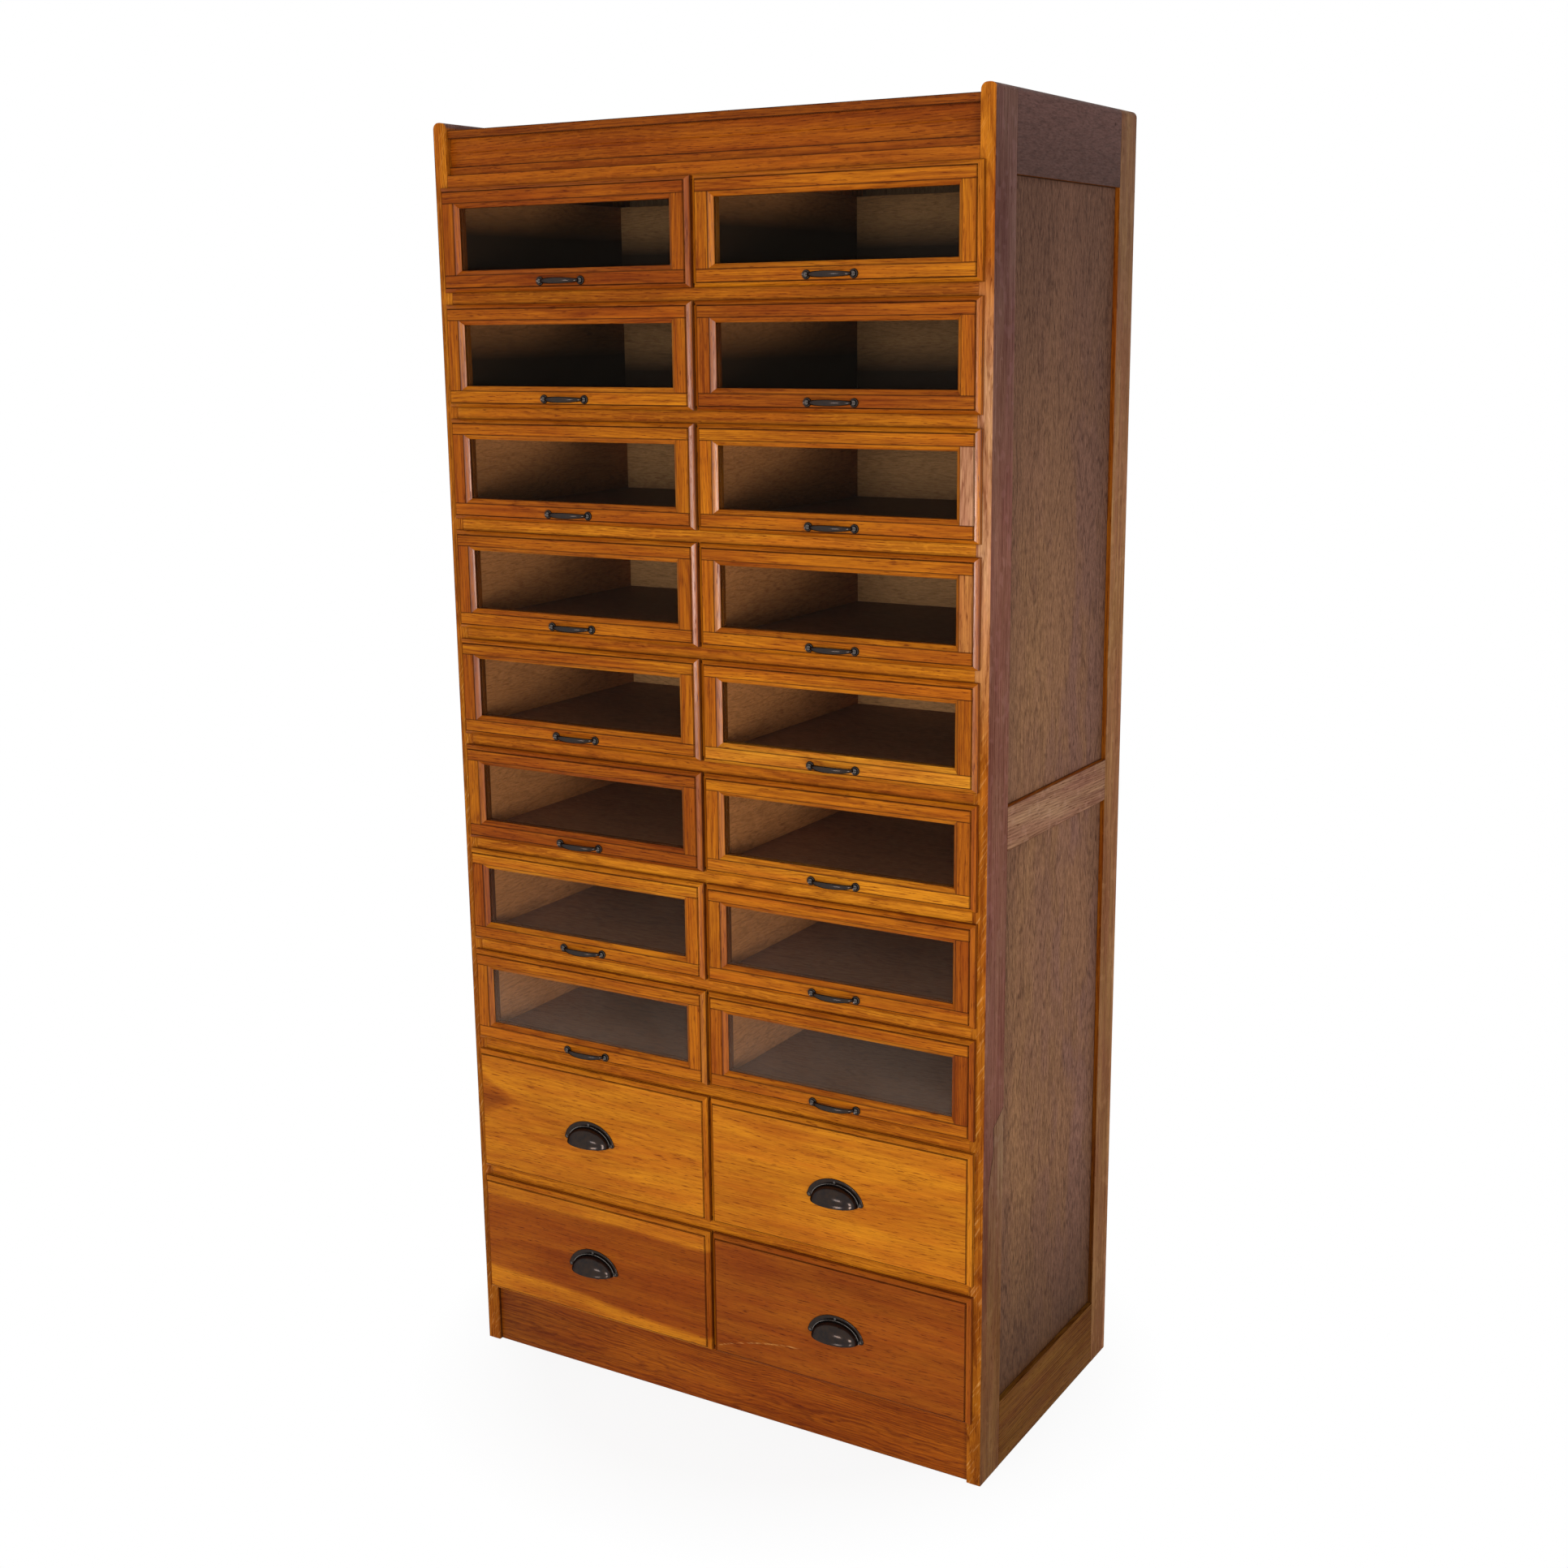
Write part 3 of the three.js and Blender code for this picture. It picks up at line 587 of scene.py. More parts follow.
class Stock:
    """Gathers the boards of one piece. Each keeps its own grain, so the joints between them show."""

    def __init__(self):
        self.points, self.faces, self.smooth, self.finish = [], [], [], []
        self.grain, self.tone, self.edge = [], [], []
        self.origin = None

    def add(self, points, faces, edges=None, along="x", tone=(0.5, 0.5, 0.5), smooth=True, pith=None,
            finish=0, same_board=False):
        first = len(self.points)
        axes = LENGTH_AXES[along]
        if not same_board:
            pith = pith or (dice.uniform(*PITH_BESIDE), dice.uniform(*PITH_BELOW))
            middle = [sum(point[axis] for point in points) / len(points) for axis in range(3)]
            self.origin = middle, (dice.uniform(*TRUNK), *pith)
        middle, shift = self.origin
        for point in points:
            self.points.append(tuple(point))
            self.grain.append(tuple(point[axis] - middle[axis] + by for axis, by in zip(axes, shift)))
            self.tone.append((*tone, 1.0))
        self.edge += edges or [0.0] * len(points)
        self.faces += [tuple(first + index for index in face) for face in faces]
        self.smooth += [smooth] * len(faces)
        self.finish += [finish] * len(faces)

    def board(self, x_span, y_span, z_span, along, tone, rim=BOARD_RIM, edge_dirt_and_shade=0.6, pith=None, painted_shade=(0.0, 0.0),
              clean=None, shaded_face=None):
        """A squared board with softly rounded arrises and a darker rim, partly dirt and partly painted shade,
        but for the ends along the clean axis. Its painted shade, given for its bottom and top, lies on all of
        it or on one face, given as an axis and -1 or 1 for its low or high end."""
        low, high = zip(x_span, y_span, z_span)
        rim = min([rim] + [BOARD_RIM_SHARE * (b - a) for a, b in zip(low, high)])
        soft = min(BOARD_SOFT, 0.5 * rim)
        grid = [(a, a + soft, a + rim, b - rim, b - soft, b) for a, b in zip(low, high)]
        last = len(grid[0]) - 1
        index_of, points, edges = {}, [], []
        for steps in itertools.product(range(last + 1), repeat=3):
            if not {0, last} & set(steps):
                continue
            raw = Vector([places[step] for places, step in zip(grid, steps)])
            core = Vector([min(max(at, a + soft), b - soft) for at, a, b in zip(raw, low, high)])
            index_of[steps] = len(points)
            points.append(core + (raw - core).normalized() * soft)
            near = sum(axis != clean and step in (0, 1, last - 1, last) for axis, step in enumerate(steps))
            on_face = shaded_face is None or (steps[shaded_face[0]] > 2) == (shaded_face[1] > 0)
            dirt_and_shade = painted_shade[steps[2] > 2] if on_face else 0.0
            edges.append(max(dirt_and_shade, edge_dirt_and_shade if near >= 2 else 0.0))
        faces = []
        for axis, side, a, b in itertools.product(range(3), (0, last), range(last), range(last)):
            corners = []
            for across, up in ((0, 0), (1, 0), (1, 1), (0, 1)):
                corner = [a + across, b + up]
                corner.insert(axis, side)
                corners.append(index_of[tuple(corner)])
            faces.append(corners[::-1] if (side == 0) == (axis != 1) else corners)
        self.add(points, faces, edges, along, tone, pith=pith)

    def moulding(self, rectangle, profile, dirt_and_shade_by_point, tones, finishes):
        """A profile run round a rectangle in X and Z with mitred corners. The profile's points are the inset
        from the rectangle and the place in Y, anticlockwise as seen along the rail from its left end. tones
        and finishes go by side: bottom, right, top, left."""
        left, right, bottom, top = rectangle
        corners = ((False, False), (True, False), (True, True), (False, True))
        for side, along in enumerate(("x", "z", "x", "z")):
            points = []
            for at_right, at_top in (corners[side], corners[(side + 1) % 4]):
                for inset, y in profile:
                    x = right - inset if at_right else left + inset
                    points.append((x, y, top - inset if at_top else bottom + inset))
            faces = skinned(2, len(profile))
            self.add(points, faces, dirt_and_shade_by_point * 2, along, tones[side], finish=finishes[side])

    def run(self, outline, low, high, dirt_and_shade_by_point, tone, axis="x", along=None, at_ends=0.0, same_board=False):
        """An outline drawn out straight along an axis: Y and Z points along X, or X and Z points along Y.
        A run of the same board carries on its grain."""
        places = (low, low + RUN_RIM, high - RUN_RIM, high)
        points = [(spot, u, z) if axis == "x" else (u, spot, z) for spot in places for u, z in outline]
        faces = skinned(len(places), len(outline))
        if axis == "x":
            faces = [turned_over(face) for face in faces]
        at_end = [max(edge_dirt_and_shade, at_ends) for edge_dirt_and_shade in dirt_and_shade_by_point]
        edges = at_end + dirt_and_shade_by_point * 2 + at_end
        self.add(points, faces, edges, along or axis, tone, same_board=same_board)

    def piece(self, name, materials, body, replaced, slot, soften=35):
        mesh = bpy.data.meshes.new(name)
        mesh.from_pydata(self.points, [], self.faces)
        for title, kind, key, values in (
            ("grain", "FLOAT_VECTOR", "vector", [c for spot in self.grain for c in spot]),
            ("tone", "FLOAT_COLOR", "color", [c for tone in self.tone for c in tone]),
            ("edge", "FLOAT", "value", self.edge),
        ):
            mesh.attributes.new(title, kind, "POINT").data.foreach_set(key, values)
        for material in materials:
            mesh.materials.append(material)
        mesh.polygons.foreach_set("material_index", self.finish)
        mesh.polygons.foreach_set("use_smooth", self.smooth)
        mesh.set_sharp_from_angle(angle=math.radians(soften))
        mesh.update()
        made = new_object(name, mesh)
        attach(made, body)
        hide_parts(*replaced)


def arc(centre, radii, start, end, steps, worn=1.0):
    """Points on an oval arc, from one angle to another in degrees. Wear above 1 flattens it."""
    points = []
    for step in range(steps + 1):
        turn = math.radians(start + (end - start) * step / steps)
        across, up = [math.copysign(abs(share) ** worn, share) for share in (math.cos(turn), math.sin(turn))]
        points.append((centre[0] + radii[0] * across, centre[1] + radii[1] * up))
    return points


# A board's tone by its word, each a little off the last.
def tone_of(word):
    share = 1 + dice.uniform(*TONES_STRAY)
    return tuple(c * share for c in TONES[word])


# Boards of each glazed front, in words: the top rail, the bottom rail, the left and the right stile.
FRONT_TONES = {
    "left_01": ("umber", "umber", "russet", "russet"),
    "right_01": ("ochre", "amber", "amber", "amber"),
    "left_02": ("russet", "amber", "ochre", "ochre"),
    "right_02": ("russet", "russet", "russet", "ochre"),
    "left_03": ("ochre", "russet", "russet", "amber"),
    "right_03": ("amber", "ochre", "amber", "amber"),
    "left_04": ("ochre", "ochre", "russet", "ochre"),
    "right_04": ("ochre", "amber", "amber", "ochre"),
    "left_05": ("amber", "ochre", "russet", "ochre"),
    "right_05": ("amber", "straw", "ochre", "ochre"),
    "left_06": ("russet", "umber", "ochre", "russet"),
    "right_06": ("amber", "honey", "amber", "russet"),
    "left_07": ("honey", "amber", "umber", "amber"),
    "right_07": ("ochre", "ochre", "ochre", "russet"),
    "left_08": ("ochre", "ochre", "ochre", "amber"),
    "right_08": ("amber", "ochre", "russet", "umber"),
}
# The right stiles painted pale for a window's sheen on them.
SHEEN_STILES = {"right_03": "painted_sheen", "right_04": "faint_painted_sheen"}
SOLID_FRONTS = {
    "left_09": ("honey", knotty_oak),
    "right_09": ("honey", plain_oak),
    "left_10": ("umber", sapwood_oak),
    "right_10": ("heart", scratched_oak),
}


# Drawers

class Drawer:
    """What the pieces of one drawer share."""

    def __init__(self, column, row):
        self.column, self.row = column, row
        self.label = f"{column}_{row:02d}"
        self.body = f"{column}_drawer_{row:02d}"
        self.glazed = row <= GLAZED_ROWS
        self.low, self.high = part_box(f"drawer_{self.label}")
        self.carcass_y = self.low.y + FRONT_PROUD


# Dark lines along the lip's profile and the ovolo's, point by point: in quirks, gaps and arrises, partly dirt
# and partly painted shade.
BEAD_DIRT_AND_SHADE = [1.0, 0.9, 0.1, 0.1, 0.9, 1.0, 0.7] + [0.0] * 5 + [0.8, 1.0, 1.0]
OVOLO_DIRT_AND_SHADE = [1.0, 0.5] + [0.0] * 5 + [0.1, 0.9, 0.5]
# The four oaks of a front, by their place in its list of materials. Hands and cloth have polished the lips at
# the right-hand ends of the rows given here, and the ovolos left of the panes.
PLAIN, POLISHED, MATT, SATIN = range(4)
LIP_GLOSS = {
    "left": {1: SATIN, 2: POLISHED, 3: POLISHED, 4: POLISHED, 5: POLISHED, 6: SATIN, 7: SATIN, 8: SATIN},
    "right": {2: SATIN, 3: POLISHED, 4: POLISHED, 5: SATIN},
}
POLISHED_OVOLO_ROWS = range(2, 6)
# Where the lip's dark lines change, counted from its back and from its round.
LIP_BACK_STEPS = (0, 1.0 * MM, 1.9 * MM)
LIP_ROUND_STEPS = (1.4 * MM, 0.7 * MM)


def bead_profile(back_y):
    """The lip's thumbnail edge: a square edge, a quarter round and a quirk against the field."""
    start = back_y + CARCASS_GAP - LIP_EDGE
    rounded = arc((BEAD_WIDTH, start), (BEAD_WIDTH, BEAD_RISE), 180, 270, MOULDING_STEPS, MOULDING_WEAR)
    quirk = [(BEAD_WIDTH + QUIRK, start - BEAD_RISE + QUIRK), (BEAD_WIDTH + QUIRK, back_y)]
    square = [back_y - step for step in LIP_BACK_STEPS] + [start + step for step in LIP_ROUND_STEPS]
    return [(0, y) for y in square] + rounded + quirk


def ovolo_profile(face_y, back_y):
    """The round between the field and the glass, below a quirk."""
    radii = (OVOLO_WIDTH, OVOLO_DEPTH - QUIRK)
    rounded = arc((0, face_y + OVOLO_DEPTH), radii, -90, 0, MOULDING_STEPS, MOULDING_WEAR)
    return [(0, face_y + QUIRK)] + rounded[1:] + [(OVOLO_WIDTH, back_y), (0, back_y)]


def grown(rectangle, margin):
    """A rectangle of left, right, bottom and top, moved out by a margin on all sides."""
    left, right, bottom, top = rectangle
    return left - margin, right + margin, bottom - margin, top + margin


def framed(stock, outer, hole, y_span, tones, piths=(None,) * 4, edge_dirt_and_shade=0.6, painted_shade=0.0):
    """Four boards round a hole. tones and piths go by board: top rail, bottom rail, left stile, right stile.
    The painted shade given lies on the stiles and along the hole."""
    left, right, bottom, top = outer
    hole_left, hole_right, hole_bottom, hole_top = hole
    for which, along, x_span, z_span, dirt_and_shade in (
        (1, "x", (left, right), (bottom, hole_bottom), (0.0, painted_shade)),
        (0, "x", (left, right), (hole_top, top), (painted_shade, 0.0)),
        (2, "z", (left, hole_left), (hole_bottom, hole_top), (painted_shade, painted_shade)),
        (3, "z", (hole_right, right), (hole_bottom, hole_top), (painted_shade, painted_shade)),
    ):
        stock.board(x_span, y_span, z_span, along, tones[which], edge_dirt_and_shade=edge_dirt_and_shade, pith=piths[which], painted_shade=dirt_and_shade)


def front_of(drawer):
    low, high, label = drawer.low, drawer.high, drawer.label
    if drawer.glazed:
        material, slot = front_oak, "oak_glazed_drawer"
        tones = [tone_of(word) for word in FRONT_TONES[label]]
    else:
        word, material = SOLID_FRONTS[label]
        tones, slot = [tone_of(word)] * 4, "oak_solid_drawer"
    around = (tones[1], tones[3], tones[0], tones[2])
    piths = [(dice.uniform(*FRONT_PITH_BESIDE), dice.uniform(*FRONT_PITH_BELOW)) for _ in tones]
    face = (low.y, drawer.carcass_y - CARCASS_GAP)
    filling = (face[1], drawer.carcass_y + FRONT_INTO_OPENING)
    outer = (low.x, high.x, low.z, high.z)
    field = grown(outer, -BEAD_WIDTH - QUIRK)
    fill_x = (low.x + LIP_OVERLAP_X + OPENING_CLEARANCE, high.x - LIP_OVERLAP_X - OPENING_CLEARANCE)
    fill_z = (low.z + LIP_OVERLAP_Z + CARCASS_GAP, high.z - LIP_OVERLAP_Z - OPENING_CLEARANCE)
    stock = Stock()
    lip = LIP_GLOSS[drawer.column].get(drawer.row, PLAIN)
    stock.moulding(outer, bead_profile(face[1]), BEAD_DIRT_AND_SHADE, around, (PLAIN, lip, PLAIN, MATT))
    if drawer.glazed:
        pane_low, pane_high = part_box(f"pane_{label}")
        sight = grown((pane_low.x, pane_high.x, pane_low.z, pane_high.z), -PANE_IN_GROOVE)
        hole = grown(sight, OVOLO_WIDTH)
        right_tone = TONES[SHEEN_STILES[label]] if label in SHEEN_STILES else tones[3]
        framed(stock, field, hole, face, [*tones[:3], right_tone], piths, edge_dirt_and_shade=0.8)
        ovolo = ovolo_profile(low.y, pane_low.y - CARCASS_GAP)
        left_gloss = POLISHED if drawer.row in POLISHED_OVOLO_ROWS else SATIN
        stock.moulding(hole, ovolo, OVOLO_DIRT_AND_SHADE, around, (PLAIN, PLAIN, PLAIN, left_gloss))
        # The boards round the glass, seen through it, get painted shade.
        framed(stock, (*fill_x, *fill_z), sight, filling, tones, painted_shade=0.8)
    else:
        stock.board(field[:2], face, field[2:], "x", tones[0], edge_dirt_and_shade=0.9)
        stock.board(fill_x, filling, fill_z, "x", tones[0])
    oaks = (material, polished_oak, matt_oak, satin_oak)
    stock.piece(f"front_{label}", oaks, drawer.body, [f"drawer_{label}"], slot)


# Painted shade on the plywood inside, by row, at the bottom and top of each side: the upper drawers are the
# darkest.
INSIDE_SHADE = {1: (1.8, 0.42), 2: (1.5, 0.42), 3: (0.90, 0.0), 4: (0.65, 0.0), 5: (0.38, 0.0)}
INSIDE_SHADE_LOWER = (0.25, 0.05)
DRAWER_FLOOR_SHADE = {1: 0.95, 2: 0.95, 3: 0.8, 4: 0.6, 5: 0.3}
DRAWER_FLOOR_SHADE_LOWER = 0.1


def box_of(drawer):
    left, right = drawer.low.x + LIP_OVERLAP_X + BOX_CLEARANCE, drawer.high.x - LIP_OVERLAP_X - BOX_CLEARANCE
    bottom = drawer.low.z + LIP_OVERLAP_Z + CARCASS_GAP
    deep = (drawer.carcass_y + FRONT_INTO_OPENING, drawer.high.y)
    tall = (bottom, drawer.high.z - LIP_OVERLAP_Z - BOX_TOP_CLEARANCE)
    inner, inner_back = (left + BOX_SIDE, right - BOX_SIDE), deep[1] - BOX_SIDE
    floor_z = (bottom + BOX_BOTTOM_LIFT, bottom + BOX_BOTTOM_LIFT + BOX_BOTTOM)
    painted_shade = INSIDE_SHADE.get(drawer.row, INSIDE_SHADE_LOWER)
    # The back board gets less painted shade than the sides, and its lighter tone is partly painted light.
    back_shade = (0.85 * painted_shade[0], 0.6 * painted_shade[1])
    drawer_floor_shade = (DRAWER_FLOOR_SHADE.get(drawer.row, DRAWER_FLOOR_SHADE_LOWER),) * 2
    sides, floor = Stock(), Stock()
    for stock, x_span, y_span, z_span, along, word, dirt_and_shade, face in (
        (sides, (left, inner[0]), deep, tall, "y", "ply", painted_shade, (0, 1)),
        (sides, (inner[1], right), deep, tall, "y", "ply", painted_shade, (0, -1)),
        (sides, inner, (inner_back, deep[1]), tall, "x", "ply_back", back_shade, (1, -1)),
        (floor, inner, (deep[0], inner_back), floor_z, "x_flat", "ply_floor", drawer_floor_shade, (2, 1)),
    ):
        stock.board(x_span, y_span, z_span, along, tone_of(word), painted_shade=dirt_and_shade, shaded_face=face)
    label = drawer.label
    for stock, name, material in ((sides, "box", box_ply), (floor, "floor", floor_ply)):
        stock.piece(f"{name}_{label}", [material], drawer.body, [f"drawer_{label}"], "plywood_back")


TURNED_SIDES = 28
SCREW_STEPS = 12
SCREW_SLOT_SHARE = 0.12
SCREW_RISE_SHARE = 0.35
SCREW_WEAR = 0.25


def tube(stock, rings, edges):
    """Skins rings of equally many points and closes both ends."""
    count = len(rings[0])
    shades = [edge for edge in edges for _ in range(count)]
    stock.add([point for ring in rings for point in ring], skinned(len(rings), count), shades)


def circled(sides):
    """Cosine and sine of equal turns round a circle."""
    turns = [2 * math.pi * index / sides for index in range(sides)]
    return [(math.cos(turn), math.sin(turn)) for turn in turns]


def turned(stock, centre, profile):
    """A round boss on a line along Y. Its profile's points are radius, place before the centre and wear."""
    rings = [
        [(centre[0] + radius * c, centre[1] - out, centre[2] + radius * s) for c, s in circled(TURNED_SIDES)]
        for radius, out, _ in profile
    ]
    tube(stock, rings, [edge for _, _, edge in profile])


def screw_head(stock, centre, radius):
    """A slotted, slightly domed screw head: the slot is left as two half heads."""
    x, y, z = centre
    slot, rise = SCREW_SLOT_SHARE * radius, SCREW_RISE_SHARE * radius
    turns = [math.pi * step / SCREW_STEPS for step in range(SCREW_STEPS + 1)]
    for side in (-1, 1):
        rim = [(radius * math.cos(turn), side * (slot + (radius - slot) * math.sin(turn))) for turn in turns]
        points = [(x + u, at_y, z + v) for at_y in (y - rise, y) for u, v in rim]
        count = len(rim)
        faces = [face[::-side] for face in skinned(2, count)]
        stock.add(points, faces, [SCREW_WEAR] * count + [0.0] * count, smooth=False)


# Bow pull: two dished feet with screws, and a bar that arches out and swells in its middle.
BOW_FOOT_RADIUS = 6.5 * MM
BOW_FOOT_THICKNESS = 2.5 * MM
BOW_FOOT_DISH = 0.9 * MM
BOW_SCREW_RADIUS = 3.1 * MM
BOW_BAR_HEIGHT = 9 * MM
BOW_BAR_THICKNESS = 7 * MM
BOW_BAR_INSET = 0.8 * MM
BOW_NECK_HEIGHT = 4.4 * MM
BOW_NECK_THICKNESS = 4.0 * MM
BOW_ARCH_POWER = 1.1
BOW_SWELL_POWER = 1.5
BOW_STEPS = 32
BOW_SIDES = 20
BOW_FOOT = (
    (BOW_FOOT_RADIUS - 0.2 * MM, 0, 0.0),
    (BOW_FOOT_RADIUS, 0.5 * MM, 0.0),
    (BOW_FOOT_RADIUS - 0.2 * MM, 1.5 * MM, 0.0),
    (BOW_FOOT_RADIUS - 1.0 * MM, BOW_FOOT_THICKNESS, 0.08),
    (BOW_FOOT_RADIUS - 1.8 * MM, BOW_FOOT_THICKNESS - 0.1 * MM, 0.0),
    (BOW_FOOT_RADIUS - 2.6 * MM, BOW_FOOT_THICKNESS - 0.8 * MM, 0.0),
    (0.4 * MM, BOW_FOOT_THICKNESS - BOW_FOOT_DISH, 0.0),
)


def bow_line(share, span, arch):
    """The middle line of the bar, from one foot out and back to the other."""
    rise = math.sin(math.pi * share) ** BOW_ARCH_POWER
    return Vector((-span * math.cos(math.pi * share), -BOW_FOOT_THICKNESS / 2 - arch * rise, 0))


def bow_bar(stock, middle, span, arch):
    rings, edges = [], []
    for step in range(BOW_STEPS + 1):
        share = step / BOW_STEPS
        ahead = bow_line(min(step + 1, BOW_STEPS) / BOW_STEPS, span, arch)
        tangent = (ahead - bow_line(max(step - 1, 0) / BOW_STEPS, span, arch)).normalized()
        across = Vector((-tangent.y, tangent.x, 0))
        swell = max(math.sin(math.pi * share), 0) ** BOW_SWELL_POWER
        half_height = (BOW_NECK_HEIGHT + (BOW_BAR_HEIGHT - BOW_NECK_HEIGHT) * swell) / 2
        half_depth = (BOW_NECK_THICKNESS + (BOW_BAR_THICKNESS - BOW_NECK_THICKNESS) * swell) / 2
        centre = bow_line(share, span, arch) + middle
        ring = []
        for c, s in circled(BOW_SIDES):
            ring.append(centre + across * (half_depth * c) + Vector((0, 0, half_height * s)))
        rings.append(ring[::-1])
        # The bar's middle is a touch paler: rubbed, and partly a painted highlight.
        edges.append(0.02 * swell)
    tube(stock, rings, edges)


def bow_pull(drawer):
    name = f"bow_pull_{drawer.label}"
    low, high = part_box(name)
    middle = Vector(((low.x + high.x) / 2, high.y, (low.z + high.z) / 2))
    from_middle = (high.x - low.x) / 2 - BOW_FOOT_RADIUS
    stock = Stock()
    for side in (-1, 1):
        foot = (middle.x + side * from_middle, middle.y, middle.z)
        turned(stock, foot, BOW_FOOT)
        screw_head(stock, (foot[0], foot[1] - BOW_FOOT_THICKNESS + BOW_FOOT_DISH, foot[2]), BOW_SCREW_RADIUS)
    span = from_middle - BOW_FOOT_RADIUS / 2 - BOW_BAR_INSET
    bow_bar(stock, middle, span, high.y - low.y - BOW_FOOT_THICKNESS / 2 - BOW_BAR_THICKNESS / 2)
    stock.piece(f"bow_{drawer.label}", [pull_bronze], drawer.body, [name], "dark_bronze", 40)


# Cup pull: a half-oval flange with rounded end lobes, and a hollow quarter dome that opens downwards over a
# flared lip. A fine raised line runs where the two meet.
CUP_FLANGE_THICKNESS = 1.8 * MM
CUP_RIM = 8.5 * MM
CUP_WALL = 2 * MM
CUP_FLANGE_END = 0.03
CUP_LOBE = 4.6 * MM
CUP_LINE = 0.6 * MM
CUP_LINE_SIDES = 6
CUP_LIP_HEIGHT = 5.5 * MM
CUP_SCREW_RADIUS = 1.9 * MM
CUP_STEPS = 40
CUP_CROWN_STEPS = 16
# Shares of the flange's rim and thickness, then of a lobe's radius and the flange's thickness, and of the
# lip's height and the dome's depth. The powers round the dome's crown and its plan.
CUP_FLANGE_SHARES = (
    (0.0, 0.0), (0.0, 0.5), (0.06, 0.85), (0.18, 1.0), (0.45, 0.95), (0.8, 0.7), (1.04, 0.65), (1.04, 0.0),
)
CUP_LOBE_SHARES = ((1.0, 0.0), (1.0, 0.5), (0.9, 0.9), (0.7, 1.05), (0.3, 1.05))
CUP_NECK_SHARE = 0.93
CUP_LIP_SHARES = ((0.0, 1.0), (0.2, 1.0), (0.45, 0.985), (0.75, 0.935), (1.0, CUP_NECK_SHARE))
CUP_CROWN_POWER = 0.95
CUP_PLAN_POWER = 0.82


def half_oval(centre, wide, tall, share):
    turn = math.pi * share
    return centre[0] + wide * math.cos(turn), centre[2] + tall * math.sin(turn)


def cup_flange(stock, centre, half, height):
    points = []
    for step in range(CUP_STEPS + 1):
        share = CUP_FLANGE_END + (1 - 2 * CUP_FLANGE_END) * step / CUP_STEPS
        for inward, out in CUP_FLANGE_SHARES:
            inset = CUP_RIM * inward
            x, z = half_oval(centre, half - inset, height - inset, share)
            points.append((x, centre[1] - CUP_FLANGE_THICKNESS * out, z))
    stock.add(points, skinned(CUP_STEPS + 1, len(CUP_FLANGE_SHARES)))
    lobe = [(CUP_LOBE * wide, CUP_FLANGE_THICKNESS * out, 0.0) for wide, out in CUP_LOBE_SHARES]
    for side in (-1, 1):
        x, y, z = centre[0] + side * (half - CUP_LOBE), centre[1], centre[2] + CUP_LOBE
        turned(stock, (x, y, z), lobe)
        screw_head(stock, (x, y - CUP_FLANGE_THICKNESS, z), CUP_SCREW_RADIUS)
    top_screw = (centre[0], centre[1] - 0.9 * CUP_FLANGE_THICKNESS, centre[2] + height - 0.5 * CUP_RIM)
    screw_head(stock, top_screw, CUP_SCREW_RADIUS)


def cup_line(stock, centre, wide, tall):
    rings = []
    for step in range(CUP_STEPS + 1):
        ring = []
        for c, s in circled(CUP_LINE_SIDES):
            x, z = half_oval(centre, wide + CUP_LINE * c, tall + CUP_LINE * c, step / CUP_STEPS)
            ring.append((x, centre[1] - CUP_FLANGE_THICKNESS - CUP_LINE * s, z))
        rings.append(ring)
    # The raised line is paler: rubbed, and partly a painted highlight along its crest.
    tube(stock, rings, [0.6] * len(rings))


def cup_dome(stock, centre, wide, deep, tall):
    """Rings round the half oval of the plan, each up the outer skin to the crown and down the inner one."""
    rows = [(CUP_LIP_HEIGHT * rise, share) for rise, share in CUP_LIP_SHARES]
    for row in range(1, CUP_CROWN_STEPS + 1):
        lift = math.pi / 2 * row / CUP_CROWN_STEPS
        rise = CUP_LIP_HEIGHT + (tall - CUP_LIP_HEIGHT) * math.sin(lift)
        rows.append((rise, CUP_NECK_SHARE * max(math.cos(lift), 1e-4) ** CUP_CROWN_POWER))
    skins = [(0, *row) for row in rows] + [(CUP_WALL, *row) for row in reversed(rows)]
    points = []
    for step in range(CUP_STEPS + 1):
        turn = math.pi * step / CUP_STEPS
        for inset, rise, deep_share in skins:
            wide_share = math.sqrt(max(1 - (rise / tall) ** 2, 1e-8))
            points.append((
                centre[0] + (wide - inset) * math.cos(turn) * wide_share,
                centre[1] - (deep - inset) * math.sin(turn) ** CUP_PLAN_POWER * deep_share,
                centre[2] + rise * (tall - inset) / tall,
            ))
    stock.add(points, [turned_over(face) for face in skinned(CUP_STEPS + 1, len(skins))])


def cup_pull(drawer):
    name = f"cup_pull_{drawer.label}"
    low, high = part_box(name)
    centre = ((low.x + high.x) / 2, high.y, low.z)
    half, height = (high.x - low.x) / 2, high.z - low.z
    wide, tall = half - CUP_RIM, height - CUP_RIM
    stock = Stock()
    cup_flange(stock, centre, half, height)
    cup_line(stock, centre, wide + CUP_LINE, tall + CUP_LINE)
    cup_dome(stock, centre, wide, high.y - low.y, tall)
    stock.piece(f"cup_{drawer.label}", [pull_bronze], drawer.body, [name], "dark_bronze", 50)


def dress_pane(drawer):
    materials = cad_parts[f"pane_{drawer.label}"].data.materials
    materials.clear()
    materials.append(pane_glass)


# Carcass

# Tones of the rails, from the top down.
RAIL_TONES = ("ochre", "amber", "honey", "amber", "ochre", "honey", "honey", "amber", "amber")


